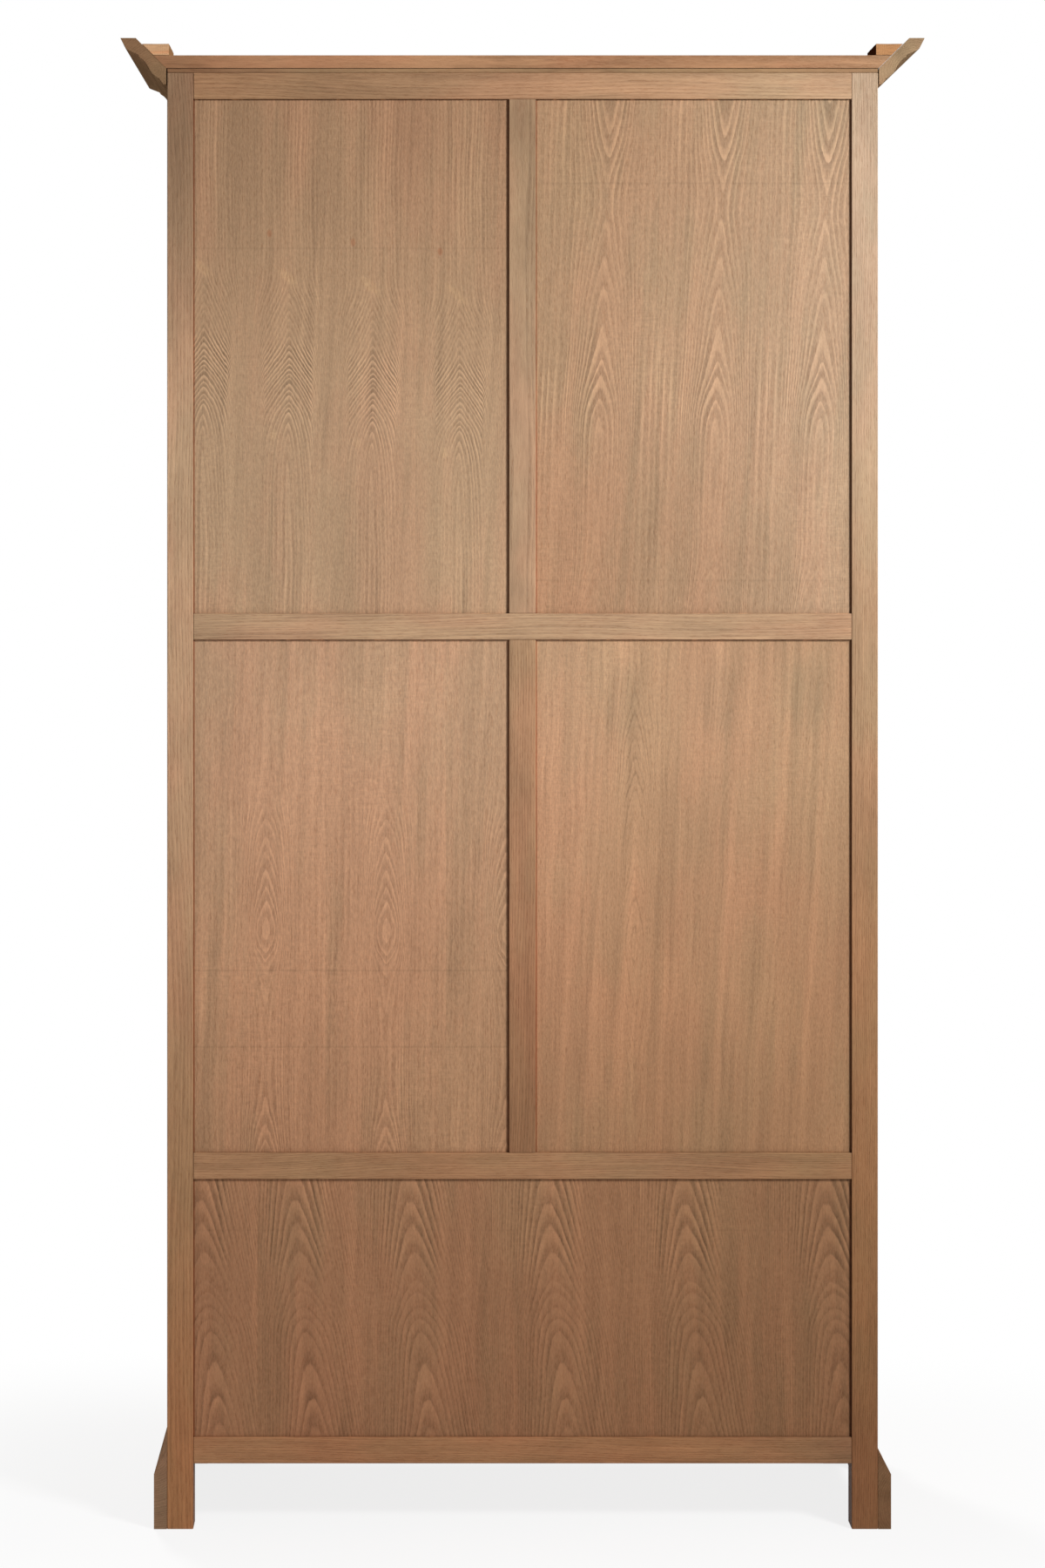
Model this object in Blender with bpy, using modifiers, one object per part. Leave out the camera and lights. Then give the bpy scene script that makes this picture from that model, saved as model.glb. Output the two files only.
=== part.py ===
"""Tall two-door oak cabinet with a framed and panelled back, a deep base drawer and a moulded crown.

Metres, +Z up. The front faces -Y and the framed back faces +Y. Left and right are as seen by
someone who stands at the front, so left is -X. The origin is on the floor, under the middle of
the crown's outline: halfway between its side tips, and halfway between its front tip and the back.
"""
import math

import bmesh
import bpy
from mathutils import Matrix, Vector

# Carcase: four legs, with rails and panels between them
CARCASE_WIDTH = 1.061
CARCASE_DEPTH = 0.440
FOOT_CLEARANCE = 0.098
RAIL_HEIGHT = 0.039
LOWER_BAY = 0.3855
MIDDLE_BAY = 0.766
UPPER_BAY = 0.768
LEG_WIDTH = 0.039
LEG_DEPTH = 0.045
RAIL_THICKNESS = 0.022
MULLION_WIDTH = 0.040
BACK_PANEL_THICKNESS = 0.006
BACK_PANEL_RECESS = 0.006
SIDE_PANEL_THICKNESS = 0.016
SIDE_PANEL_RECESS = 0.006
BOARD_THICKNESS = 0.018
SHELF_SETBACK = 0.004

# Joinery: the gap kept between faces that touch, tongues, tenons, housings and eased edges
FIT = 0.0003
PANEL_TONGUE = 0.010
TENON_LENGTH = 0.018
TENON_THICKNESS = 0.008
TENON_SHOULDER = 0.0115
MULLION_TENON_LENGTH = 0.014
HOUSING_DEPTH = 0.006
ARRIS = 0.0008
OVERRUN = 0.004
WELD_DISTANCE = 0.00001

# Top: a thin veneered strip, the top board with bevelled edges, and glue blocks on it
SUB_TOP_THICKNESS = 0.006
TOP_SEAM = 0.0008
TOP_THICKNESS = 0.019
BLOCK_HEIGHT = 0.017
BLOCK_LENGTH = 0.108
BLOCK_OVERLAP = 0.003

# Crown: a sprung moulding, cut plumb where it meets the carcase
CROWN_PROJECTION = 0.070
CROWN_HEIGHT = 0.069
CROWN_LAP = 0.017
CROWN_GAP = 0.0015
CROWN_PLUMB_CUT = 0.0235
CROWN_NOSE_RADIUS = 0.004
CYMA_SWELL = 0.0016

# Outline of the crown's moulded face, as shares of its projection and height, from the bottom up
CROWN_FOOT_SHARES = ((0.09, 0.0), (0.16, 0.10), (0.165, 0.125))
CYMA_LOW_SHARE = (0.20, 0.135)
CYMA_HIGH_SHARE = (0.605, 0.595)
CROWN_STEP_SHARES = ((0.605, 0.62), (0.635, 0.645))
CROWN_NOSE_SHARE = (0.885, 0.765)

# Base: a bevelled plinth board round the front and sides, cut away between its bracket feet
BASE_THICKNESS = 0.0195
BASE_HEIGHT = 0.118
BASE_BEVEL_HEIGHT = 0.036
FOOT_LENGTH = 0.105
FOOT_ARCH_HEIGHT = 0.052
FOOT_ARCH_RADIUS = 0.040

# Doors: two inset frames, each with three rails and two flat panels
DOOR_THICKNESS = 0.022
DOOR_GAP = 0.002
DOOR_STILE = 0.056
DOOR_TOP_RAIL = 0.056
DOOR_MID_RAIL = 0.056
DOOR_BOTTOM_RAIL = 0.072
DOOR_PANEL_THICKNESS = 0.008
DOOR_PANEL_RECESS = 0.007
DOOR_TENON_THICKNESS = 0.007
DOOR_KNOB_HEIGHT = 1.120

# Hinges: butt hinges whose barrels stand in front of the doors
HINGE_LENGTH = 0.076
HINGE_STANDOFF = 0.006
HINGE_BARREL_RADIUS = 0.0042
HINGE_FINIAL_RADIUS = 0.0034
HINGE_FINIAL_HEIGHT = 0.006
HINGE_GROOVE_DEPTH = 0.0007
HINGE_GROOVE_WIDTH = 0.0010
HINGE_KNUCKLES = 5
HINGE_LEAF_THICKNESS = 0.0012
HINGE_LEAF_DEPTH = 0.018
HINGE_FROM_END = 0.170

# Drawer: a dovetailed box behind an inset front
DRAWER_FRONT_THICKNESS = 0.022
DRAWER_SIDE_THICKNESS = 0.014
DRAWER_SIDE_HEIGHT = 0.310
DRAWER_BACK_THICKNESS = 0.012
DRAWER_BOTTOM_THICKNESS = 0.006
DRAWER_BOTTOM_LIFT = 0.012
DRAWER_BOTTOM_TONGUE = 0.006
DRAWER_REAR_GAP = 0.012
DRAWER_KNOB_SPACING = 0.520
TAIL_LENGTH = 0.015
TAIL_COUNT = 5
PIN_WIDTH = 0.012
TAIL_FLARE_SHARE = 1 / 7

# Knobs: turned, with a round head, a neck and a flange
KNOB_PROJECTION = 0.030
KNOB_HEAD_RADIUS = 0.0165
KNOB_HEAD_THICKNESS = 0.015
KNOB_NECK_RADIUS = 0.0065
KNOB_FLANGE_RADIUS = 0.0115
KNOB_FLANGE_THICKNESS = 0.003
KNOB_FLANGE_EASE = 0.001

# Counts of facets
ROUND_STEPS = 20
BARREL_STEPS = 14
ARC_STEPS = 6
CYMA_STEPS = 10

# Places worked out from the sizes above
HALF_WIDTH = CARCASE_WIDTH / 2
REAR_Y = (CARCASE_DEPTH + CROWN_PROJECTION) / 2
FRONT_Y = REAR_Y - CARCASE_DEPTH
LEG_INNER_X = HALF_WIDTH - LEG_WIDTH
SIDE_OUTER_X = HALF_WIDTH - SIDE_PANEL_RECESS
SIDE_INNER_X = SIDE_OUTER_X - SIDE_PANEL_THICKNESS
LOWER_BAY_Z = FOOT_CLEARANCE + RAIL_HEIGHT
WAIST_RAIL_Z = LOWER_BAY_Z + LOWER_BAY
MIDDLE_BAY_Z = WAIST_RAIL_Z + RAIL_HEIGHT
MID_RAIL_Z = MIDDLE_BAY_Z + MIDDLE_BAY
UPPER_BAY_Z = MID_RAIL_Z + RAIL_HEIGHT
TOP_RAIL_Z = UPPER_BAY_Z + UPPER_BAY
CARCASE_TOP_Z = TOP_RAIL_Z + RAIL_HEIGHT
SUB_TOP_Z = CARCASE_TOP_Z + FIT
TOP_Z = SUB_TOP_Z + SUB_TOP_THICKNESS + TOP_SEAM
BLOCK_Z = TOP_Z + TOP_THICKNESS + FIT
BLOCK_INNER_X = HALF_WIDTH - BLOCK_OVERLAP
CROWN_Z = CARCASE_TOP_Z - CROWN_LAP
BEVEL_CLEARANCE = FIT * math.sqrt(2)
HINGE_AXIS_X = LEG_INNER_X - DOOR_GAP / 2
HINGE_AXIS_Y = FRONT_Y - HINGE_STANDOFF
DOOR_LOW_Z = MIDDLE_BAY_Z + DOOR_GAP
DOOR_HIGH_Z = TOP_RAIL_Z - DOOR_GAP
DRAWER_HALF_WIDTH = LEG_INNER_X - DOOR_GAP
DRAWER_LOW_Z = LOWER_BAY_Z + FIT
DRAWER_SHOULDER_Y = FRONT_Y + DRAWER_FRONT_THICKNESS + 2 * FIT
DRAWER_REAR_Y = REAR_Y - RAIL_THICKNESS - DRAWER_REAR_GAP

# Which way along X each side lies
SIDES = {"left": -1, "right": 1}

# Colour, roughness and metallic value of each finish
FINISHES = {
    "oak_frame": ((0.42, 0.25, 0.15), 0.70, 0.0),
    "oak_panel": ((0.47, 0.29, 0.18), 0.66, 0.0),
    "oak_moulding": ((0.40, 0.25, 0.16), 0.70, 0.0),
    "raw_wood": ((0.57, 0.29, 0.13), 0.85, 0.0),
    "drawer_wood": ((0.60, 0.44, 0.28), 0.75, 0.0),
    "aged_bronze": ((0.060, 0.042, 0.030), 0.45, 0.9),
}


def clear_scene():
    """Empties the scene and makes the collections for the pieces and for what cuts them."""
    for item in list(bpy.data.objects):
        bpy.data.objects.remove(item, do_unlink=True)
    for name in ("tall_cabinet", "cutters"):
        bpy.context.scene.collection.children.link(bpy.data.collections.new(name))


def finish_material(name):
    """The material of a finish, made once and shared by every piece that has it."""
    if name in bpy.data.materials:
        return bpy.data.materials[name]
    colour, roughness, metallic = FINISHES[name]
    material = bpy.data.materials.new(name)
    material.use_nodes = True
    shader = material.node_tree.nodes["Principled BSDF"]
    shader.inputs["Base Color"].default_value = (*colour, 1)
    shader.inputs["Roughness"].default_value = roughness
    shader.inputs["Metallic"].default_value = metallic
    material.diffuse_color = (*colour, 1)
    return material


def box_between(x_ends, y_ends, z_ends):
    """Low and high corner of the box between three pairs of places, given in either order."""
    ends = (x_ends, y_ends, z_ends)
    return Vector([min(pair) for pair in ends]), Vector([max(pair) for pair in ends])


def grown(box, margin=FIT):
    """The box with each of its six sides moved outwards by the margin."""
    low, high = box
    step = Vector((margin, margin, margin))
    return low - step, high + step


def box_mesh(name, box):
    """A cuboid mesh of the box's size, centred on its own origin."""
    low, high = box
    mesh = bpy.data.meshes.new(name)
    form = bmesh.new()
    bmesh.ops.create_cube(form, size=1)
    bmesh.ops.scale(form, vec=high - low, verts=form.verts)
    form.to_mesh(mesh)
    form.free()
    return mesh


def place(name, mesh, location, finish, parent=None):
    """Adds a named piece to the cabinet, at a world location, under an unturned parent."""
    piece = bpy.data.objects.new(name, mesh)
    bpy.data.collections["tall_cabinet"].objects.link(piece)
    piece.parent = parent
    piece.location = Vector(location) - (parent.location if parent else Vector())
    mesh.materials.append(finish_material(finish))
    return piece


def board(name, box, finish, parent=None):
    """A squared board with eased edges."""
    piece = place(name, box_mesh(name, box), (box[0] + box[1]) / 2, finish, parent)
    ease = piece.modifiers.new("eased_edges", "BEVEL")
    ease.width = ARRIS
    ease.segments = 1
    return piece


def as_cutter(item):
    """Files an object with the cutters, which aren't part of the cabinet."""
    bpy.data.collections["cutters"].objects.link(item)
    item.hide_render = True
    item.display_type = "WIRE"
    return item


def box_cutter(name, box):
    """A box-shaped tool that cuts a groove, mortise or notch, or is joined on as a tenon."""
    cutter = as_cutter(bpy.data.objects.new(name, box_mesh(name, box)))
    cutter.location = (box[0] + box[1]) / 2
    return cutter


def combine(pieces, tool, operation):
    """Cuts the tool from each piece, or joins it on."""
    for piece in pieces:
        step = piece.modifiers.new(tool.name, "BOOLEAN")
        step.operation = operation
        step.object = tool


def cut_box(pieces, box, name):
    """Cuts a box from each piece."""
    combine(pieces, box_cutter(name, box), "DIFFERENCE")


def outline_mesh(name, points, length):
    """A closed mesh: the outline in local X and Y, extruded by the length about local Z."""
    curve = bpy.data.curves.new(name, "CURVE")
    curve.dimensions = "2D"
    curve.fill_mode = "BOTH"
    curve.extrude = length / 2
    spline = curve.splines.new("POLY")
    spline.points.add(len(points) - 1)
    for target, point in zip(spline.points, points):
        target.co.xy = point
    spline.use_cyclic_u = True
    drawn = bpy.data.objects.new(name, curve)
    bpy.context.scene.collection.objects.link(drawn)
    evaluated = drawn.evaluated_get(bpy.context.evaluated_depsgraph_get())
    mesh = bpy.data.meshes.new_from_object(evaluated)
    bpy.data.objects.remove(drawn, do_unlink=True)
    bpy.data.curves.remove(curve)
    form = bmesh.new()
    form.from_mesh(mesh)
    bmesh.ops.remove_doubles(form, verts=form.verts, dist=WELD_DISTANCE)
    bmesh.ops.recalc_face_normals(form, faces=form.faces)
    form.to_mesh(mesh)
    form.free()
    return mesh


def turn_to(item, outward, upward):
    """Turns an object so that its local X and Y point the two given ways."""
    along = outward.cross(upward)
    item.rotation_euler = Matrix((outward, upward, along)).transposed().to_euler()


def turned_mesh(name, profile):
    """The open profile of a turned piece, as (radius, height) points from its top to its bottom."""
    mesh = bpy.data.meshes.new(name)
    rim = [(radius, 0, height) for radius, height in profile]
    mesh.from_pydata(rim, [(index, index + 1) for index in range(len(rim) - 1)], [])
    return mesh


def spin(piece, steps):
    """Turns a profile into a closed round form."""
    screw = piece.modifiers.new("turned", "SCREW")
    screw.steps = steps
    screw.render_steps = steps
    screw.use_merge_vertices = True
    screw.merge_threshold = WELD_DISTANCE


def fillet(before, corner, after, radius):
    """Points of the arc that rounds the corner between two neighbouring points of an outline."""
    back = (before - corner).normalized()
    onward = (after - corner).normalized()
    half_angle = back.angle(onward) / 2
    reach = radius / math.tan(half_angle)
    centre = corner + (back + onward).normalized() * (radius / math.sin(half_angle))
    start = corner + back * reach - centre
    end = corner + onward * reach - centre
    steps = [index / ARC_STEPS for index in range(ARC_STEPS + 1)]
    return [centre + start.lerp(end, step).normalized() * radius for step in steps]


def leg_box(side, back):
    """The box of a leg, on the left or right, at the back or the front."""
    y_ends = (REAR_Y - LEG_DEPTH, REAR_Y) if back else (FRONT_Y, FRONT_Y + LEG_DEPTH)
    return box_between((side * LEG_INNER_X, side * HALF_WIDTH), y_ends, (0, CARCASE_TOP_Z))


def make_legs():
    """Four square legs that run from the floor to the top of the carcase."""
    legs = {}
    for word, side in SIDES.items():
        legs["rear", word] = board(f"rear_leg_{word}", leg_box(side, True), "oak_frame")
        legs["front", word] = board(f"front_leg_{word}", leg_box(side, False), "oak_frame")
    return legs


def tenoned(name, box, along, holders, finish, parent=None, thickness=TENON_THICKNESS, length=TENON_LENGTH):
    """A rail (along "x") or mullion (along "z") with a tenon on each end, mortised into its holders.

    The holders are the pieces at its low and its high end.
    """
    rail = board(name, box, finish, parent)
    axis = "xyz".index(along)
    across = "xyz".index("z" if along == "x" else "x")
    middle_y = (box[0].y + box[1].y) / 2
    for end, outward, holder in ((box[0], -1, holders[0]), (box[1], 1, holders[1])):
        low, high = box[0].copy(), box[1].copy()
        low[across] += TENON_SHOULDER
        high[across] -= TENON_SHOULDER
        low.y, high.y = middle_y - thickness / 2, middle_y + thickness / 2
        root, tip = end[axis] - outward * OVERRUN, end[axis] + outward * length
        low[axis], high[axis] = min(root, tip), max(root, tip)
        combine([rail], box_cutter(f"{name}_tenon", (low, high)), "UNION")
        cut_box([holder], grown((low, high)), f"{name}_mortise")
    return rail


def panel(name, box, finish, holders, parent=None):
    """A panel whose edges stand in grooves in the pieces that hold it."""
    piece = board(name, box, finish, parent)
    cut_box(holders, grown(box), f"{name}_groove")
    return piece


def make_back(legs):
    """The framed back: four rails and two mullions, flush with the legs, round five panels."""
    rear = (legs["rear", "left"], legs["rear", "right"])
    frame_y = (REAR_Y - RAIL_THICKNESS, REAR_Y)
    shoulders = (-LEG_INNER_X + FIT, LEG_INNER_X - FIT)
    rails = {}
    levels = {"bottom": FOOT_CLEARANCE, "lower": WAIST_RAIL_Z, "mid": MID_RAIL_Z, "top": TOP_RAIL_Z}
    for word, low in levels.items():
        box = box_between(shoulders, frame_y, (low, low + RAIL_HEIGHT))
        rails[word] = tenoned(f"back_{word}_rail", box, "x", rear, "oak_frame")
    face_y = REAR_Y - BACK_PANEL_RECESS
    panel_y = (face_y - BACK_PANEL_THICKNESS, face_y)
    bays = {
        "middle": (MIDDLE_BAY_Z, MIDDLE_BAY, "lower", "mid"),
        "upper": (UPPER_BAY_Z, UPPER_BAY, "mid", "top"),
    }
    edge_x = LEG_INNER_X + PANEL_TONGUE
    for word, (low, height, below, above) in bays.items():
        box = box_between((-MULLION_WIDTH / 2, MULLION_WIDTH / 2), frame_y, (low + FIT, low + height - FIT))
        holders = (rails[below], rails[above])
        mullion = tenoned(
            f"back_mullion_{word}", box, "z", holders, "oak_frame", length=MULLION_TENON_LENGTH
        )
        panel_z = (low - PANEL_TONGUE, low + height + PANEL_TONGUE)
        for side_word, side in SIDES.items():
            box = box_between((side * (MULLION_WIDTH / 2 - PANEL_TONGUE), side * edge_x), panel_y, panel_z)
            around = [legs["rear", side_word], mullion, rails[below], rails[above]]
            panel(f"back_panel_{word}_{side_word}", box, "oak_panel", around)
    panel_z = (LOWER_BAY_Z - PANEL_TONGUE, WAIST_RAIL_Z + PANEL_TONGUE)
    box = box_between((-edge_x, edge_x), panel_y, panel_z)
    panel("back_panel_lower", box, "oak_panel", [*rear, rails["bottom"], rails["lower"]])


def make_front_frame(legs):
    """Three rails between the front legs: over the doors, between doors and drawer, under the drawer."""
    front = (legs["front", "left"], legs["front", "right"])
    shoulders = (-LEG_INNER_X + FIT, LEG_INNER_X - FIT)
    frame_y = (FRONT_Y, FRONT_Y + RAIL_THICKNESS)
    for word, low in (("bottom", FOOT_CLEARANCE), ("waist", WAIST_RAIL_Z), ("top", TOP_RAIL_Z)):
        box = box_between(shoulders, frame_y, (low, low + RAIL_HEIGHT))
        tenoned(f"front_{word}_rail", box, "x", front, "oak_frame")


def make_side_panels(legs):
    """One tall board on each side, tongued between the front and the rear leg."""
    panels = {}
    y_ends = (FRONT_Y + LEG_DEPTH - PANEL_TONGUE, REAR_Y - LEG_DEPTH + PANEL_TONGUE)
    for word, side in SIDES.items():
        x_ends = (side * SIDE_INNER_X, side * SIDE_OUTER_X)
        box = box_between(x_ends, y_ends, (FOOT_CLEARANCE, CARCASE_TOP_Z))
        holders = [legs["front", word], legs["rear", word]]
        panels[word] = panel(f"side_panel_{word}", box, "oak_panel", holders)
    return panels


def deck(name, top_z, front_y, side_panels):
    """A board across the carcase, housed in the side panels and notched round the legs."""
    reach = SIDE_INNER_X + HOUSING_DEPTH
    back_y = REAR_Y - RAIL_THICKNESS - FIT
    box = box_between((-reach, reach), (front_y, back_y), (top_z - BOARD_THICKNESS, top_z))
    piece = board(name, box, "oak_panel")
    cut_box(side_panels.values(), grown(box), f"{name}_housing")
    for side in SIDES.values():
        for back in (False, True):
            low, high = grown(leg_box(side, back))
            outer_x = side * (reach + OVERRUN)
            notch = box_between((side * (LEG_INNER_X - FIT), outer_x), (low.y, high.y), (low.z, high.z))
            cut_box([piece], notch, f"{name}_notch")
    return piece


def make_decks(side_panels):
    """The boards inside: under the drawer, under the doors, and the fixed shelf at the mid rail."""
    behind_rails_y = FRONT_Y + RAIL_THICKNESS + FIT
    behind_doors_y = FRONT_Y + DOOR_THICKNESS + SHELF_SETBACK
    deck("dust_board", LOWER_BAY_Z, behind_rails_y, side_panels)
    deck("cupboard_floor", MIDDLE_BAY_Z, behind_rails_y, side_panels)
    deck("fixed_shelf", UPPER_BAY_Z, behind_doors_y, side_panels)


def crown_face_offset(height_z):
    """How far the crown's sloping inner face stands out from the carcase at a level."""
    return CROWN_GAP + (height_z - CROWN_Z - CROWN_PLUMB_CUT) - BEVEL_CLEARANCE


def make_top():
    """The thin strip on the carcase, and the top board, bevelled to carry the crown on three sides."""
    strip_z = (SUB_TOP_Z, SUB_TOP_Z + SUB_TOP_THICKNESS)
    strip = box_between((-HALF_WIDTH, HALF_WIDTH), (FRONT_Y, REAR_Y), strip_z)
    board("sub_top", strip, "oak_frame")
    edge = crown_face_offset(TOP_Z)
    half = HALF_WIDTH + edge
    box = box_between((-half, half), (FRONT_Y - edge, REAR_Y), (TOP_Z, TOP_Z + TOP_THICKNESS))
    mesh = box_mesh("top_board", box)
    for vertex in mesh.vertices:
        if vertex.co.z > 0:
            vertex.co.x += math.copysign(TOP_THICKNESS, vertex.co.x)
            vertex.co.y -= TOP_THICKNESS if vertex.co.y < 0 else 0
    place("top_board", mesh, (box[0] + box[1]) / 2, "oak_panel")


def crown_point(share):
    """A point of the crown's face from its shares, measured outwards from the plumb cut."""
    return Vector((share[0] * CROWN_PROJECTION - CROWN_GAP, share[1] * CROWN_HEIGHT))


def cyma_points():
    """The crown's long double curve: a straight line with one sine wave of swell across it."""
    low, high = crown_point(CYMA_LOW_SHARE), crown_point(CYMA_HIGH_SHARE)
    chord = (high - low).normalized()
    outward = Vector((chord.y, -chord.x))
    points = []
    for index in range(CYMA_STEPS + 1):
        step = index / CYMA_STEPS
        points.append(low.lerp(high, step) + outward * (CYMA_SWELL * math.sin(2 * math.pi * step)))
    return points


def crown_outline():
    """Section of the crown: outwards in X, upwards in Y, from the foot of its plumb cut."""
    step_end = crown_point(CROWN_STEP_SHARES[-1])
    tip = crown_point((1, 1))
    nose = fillet(step_end, crown_point(CROWN_NOSE_SHARE), tip, CROWN_NOSE_RADIUS)
    back_of_top = Vector((CROWN_HEIGHT - CROWN_PLUMB_CUT, CROWN_HEIGHT))
    return [
        Vector((0, 0)),
        *[crown_point(share) for share in CROWN_FOOT_SHARES],
        *cyma_points(),
        *[crown_point(share) for share in CROWN_STEP_SHARES],
        *nose,
        tip,
        back_of_top,
        Vector((0, CROWN_PLUMB_CUT)),
    ]


def base_outline():
    """Section of the base board: square below, with a long bevel back to the carcase on top."""
    return [
        Vector((0, 0)),
        Vector((BASE_THICKNESS, 0)),
        Vector((BASE_THICKNESS, BASE_HEIGHT - BASE_BEVEL_HEIGHT)),
        Vector((0, BASE_HEIGHT)),
    ]


def mitred_run(name, outline, middle, outward, length, mitres, finish):
    """A length of moulding whose section faces outward, and whose chosen ends are mitred.

    The length is measured on the carcase. At a mitred end each point of the section runs on by
    its own distance out from the carcase, less the gap kept in the mitre.
    """
    mesh = outline_mesh(name, outline, length)
    for vertex in mesh.vertices:
        end = 1 if vertex.co.z > 0 else -1
        if end in mitres:
            vertex.co.z += end * (vertex.co.x - FIT)
    piece = place(name, mesh, middle, finish)
    turn_to(piece, outward, Vector((0, 0, 1)))
    return piece


def surround(name, outline, gap, low_z, finish):
    """Three mitred runs round the front and the sides, which end flush with the back."""
    pieces = {}
    face_x, face_y = HALF_WIDTH + gap, FRONT_Y - gap
    middle_y = (face_y + REAR_Y) / 2
    for word, side in SIDES.items():
        front_end = side
        pieces[word] = mitred_run(
            f"{name}_{word}", outline, (side * face_x, middle_y, low_z),
            Vector((side, 0, 0)), REAR_Y - face_y, {front_end}, finish,
        )
    pieces["front"] = mitred_run(
        f"{name}_front", outline, (0, face_y, low_z), Vector((0, -1, 0)), 2 * face_x, {-1, 1}, finish
    )
    return pieces


def arch_outline(width):
    """The cut between two bracket feet: an opening with rounded upper corners."""
    half = width / 2
    foot, corner = Vector((half, -OVERRUN)), Vector((half, FOOT_ARCH_HEIGHT))
    right = [foot, *fillet(foot, corner, Vector((0, FOOT_ARCH_HEIGHT)), FOOT_ARCH_RADIUS)]
    return right + [Vector((-point.x, point.y)) for point in reversed(right)]


def cut_arch(piece, name, middle, outward, width):
    """Cuts the arch between two feet through a base board."""
    depth = 2 * (BASE_THICKNESS + OVERRUN)
    cutter = as_cutter(bpy.data.objects.new(name, outline_mesh(name, arch_outline(width), depth)))
    cutter.location = middle
    turn_to(cutter, Vector((0, 0, 1)).cross(outward), Vector((0, 0, 1)))
    combine([piece], cutter, "DIFFERENCE")


def make_base():
    """The plinth boards, with a foot left at each end of each board."""
    pieces = surround("base", base_outline(), FIT, 0, "oak_moulding")
    outer_x, outer_y = HALF_WIDTH + FIT + BASE_THICKNESS, FRONT_Y - FIT - BASE_THICKNESS
    width = 2 * (outer_x - FOOT_LENGTH)
    cut_arch(pieces["front"], "front_arch", (0, outer_y, 0), Vector((0, -1, 0)), width)
    for word, side in SIDES.items():
        length = REAR_Y - outer_y
        middle = (side * outer_x, (REAR_Y + outer_y) / 2, 0)
        cut_arch(pieces[word], f"{word}_arch", middle, Vector((side, 0, 0)), length - 2 * FOOT_LENGTH)


def make_crown():
    """The crown, and the two rough glue blocks that back its ends on the top board."""
    surround("crown", crown_outline(), CROWN_GAP, CROWN_Z, "oak_moulding")
    foot = HALF_WIDTH + crown_face_offset(BLOCK_Z) - BLOCK_INNER_X
    outline = [
        Vector((0, 0)),
        Vector((foot, 0)),
        Vector((foot + BLOCK_HEIGHT, BLOCK_HEIGHT)),
        Vector((0, BLOCK_HEIGHT)),
    ]
    for word, side in SIDES.items():
        name = f"crown_block_{word}"
        location = (side * BLOCK_INNER_X, REAR_Y - BLOCK_LENGTH / 2, BLOCK_Z)
        block = place(name, outline_mesh(name, outline, BLOCK_LENGTH), location, "raw_wood")
        turn_to(block, Vector((side, 0, 0)), Vector((0, 0, 1)))


def joint_empty(name, location):
    """An empty on a joint's axis, which carries the pieces that move about it."""
    empty = bpy.data.objects.new(name, None)
    bpy.data.collections["tall_cabinet"].objects.link(empty)
    empty.location = location
    return empty


def knob_profile():
    """Profile of a knob, from the crown of its head down to its flange."""
    half_head = KNOB_HEAD_THICKNESS / 2
    middle = KNOB_PROJECTION - half_head
    points = []
    for index in range(ARC_STEPS + 1):
        turn = math.pi / 2 * (1 - index / ARC_STEPS)
        points.append((KNOB_HEAD_RADIUS * math.cos(turn), middle + half_head * math.sin(turn)))
    neck_reach = KNOB_HEAD_RADIUS - KNOB_NECK_RADIUS
    for index in range(1, ARC_STEPS + 1):
        turn = math.pi / 2 * index / ARC_STEPS
        points.append((KNOB_NECK_RADIUS + neck_reach * math.cos(turn), middle - half_head * math.sin(turn)))
    points.append((KNOB_NECK_RADIUS, KNOB_FLANGE_THICKNESS))
    points.append((KNOB_FLANGE_RADIUS - KNOB_FLANGE_EASE, KNOB_FLANGE_THICKNESS))
    points.append((KNOB_FLANGE_RADIUS, KNOB_FLANGE_THICKNESS - KNOB_FLANGE_EASE))
    points.append((KNOB_FLANGE_RADIUS, 0))
    points.append((0, 0))
    points[0] = (0, KNOB_PROJECTION)
    return points


def knob(name, x, z, parent):
    """A turned knob on the front face, with its axis square to the face."""
    piece = place(name, turned_mesh(name, knob_profile()), (x, FRONT_Y - FIT, z), "aged_bronze", parent)
    piece.rotation_euler.x = math.pi / 2
    spin(piece, ROUND_STEPS)


def barrel_profile():
    """Profile of a hinge barrel: round finials on a stack of knuckles with a groove between each two."""
    half = HINGE_LENGTH / 2
    points = [(0, half + HINGE_FINIAL_HEIGHT)]
    for index in range(1, ARC_STEPS):
        turn = math.pi / 2 * index / ARC_STEPS
        points.append((HINGE_FINIAL_RADIUS * math.sin(turn), half + HINGE_FINIAL_HEIGHT * math.cos(turn)))
    points.append((HINGE_FINIAL_RADIUS, half))
    points.append((HINGE_BARREL_RADIUS, half))
    inner = HINGE_BARREL_RADIUS - HINGE_GROOVE_DEPTH
    for index in range(1, HINGE_KNUCKLES):
        middle = half - HINGE_LENGTH * index / HINGE_KNUCKLES
        edge = HINGE_GROOVE_WIDTH / 2
        points.append((HINGE_BARREL_RADIUS, middle + edge))
        points.append((inner, middle + edge))
        points.append((inner, middle - edge))
        points.append((HINGE_BARREL_RADIUS, middle - edge))
    lower_end = [(radius, -height) for radius, height in reversed(points[: ARC_STEPS + 2])]
    return points + lower_end


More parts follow.
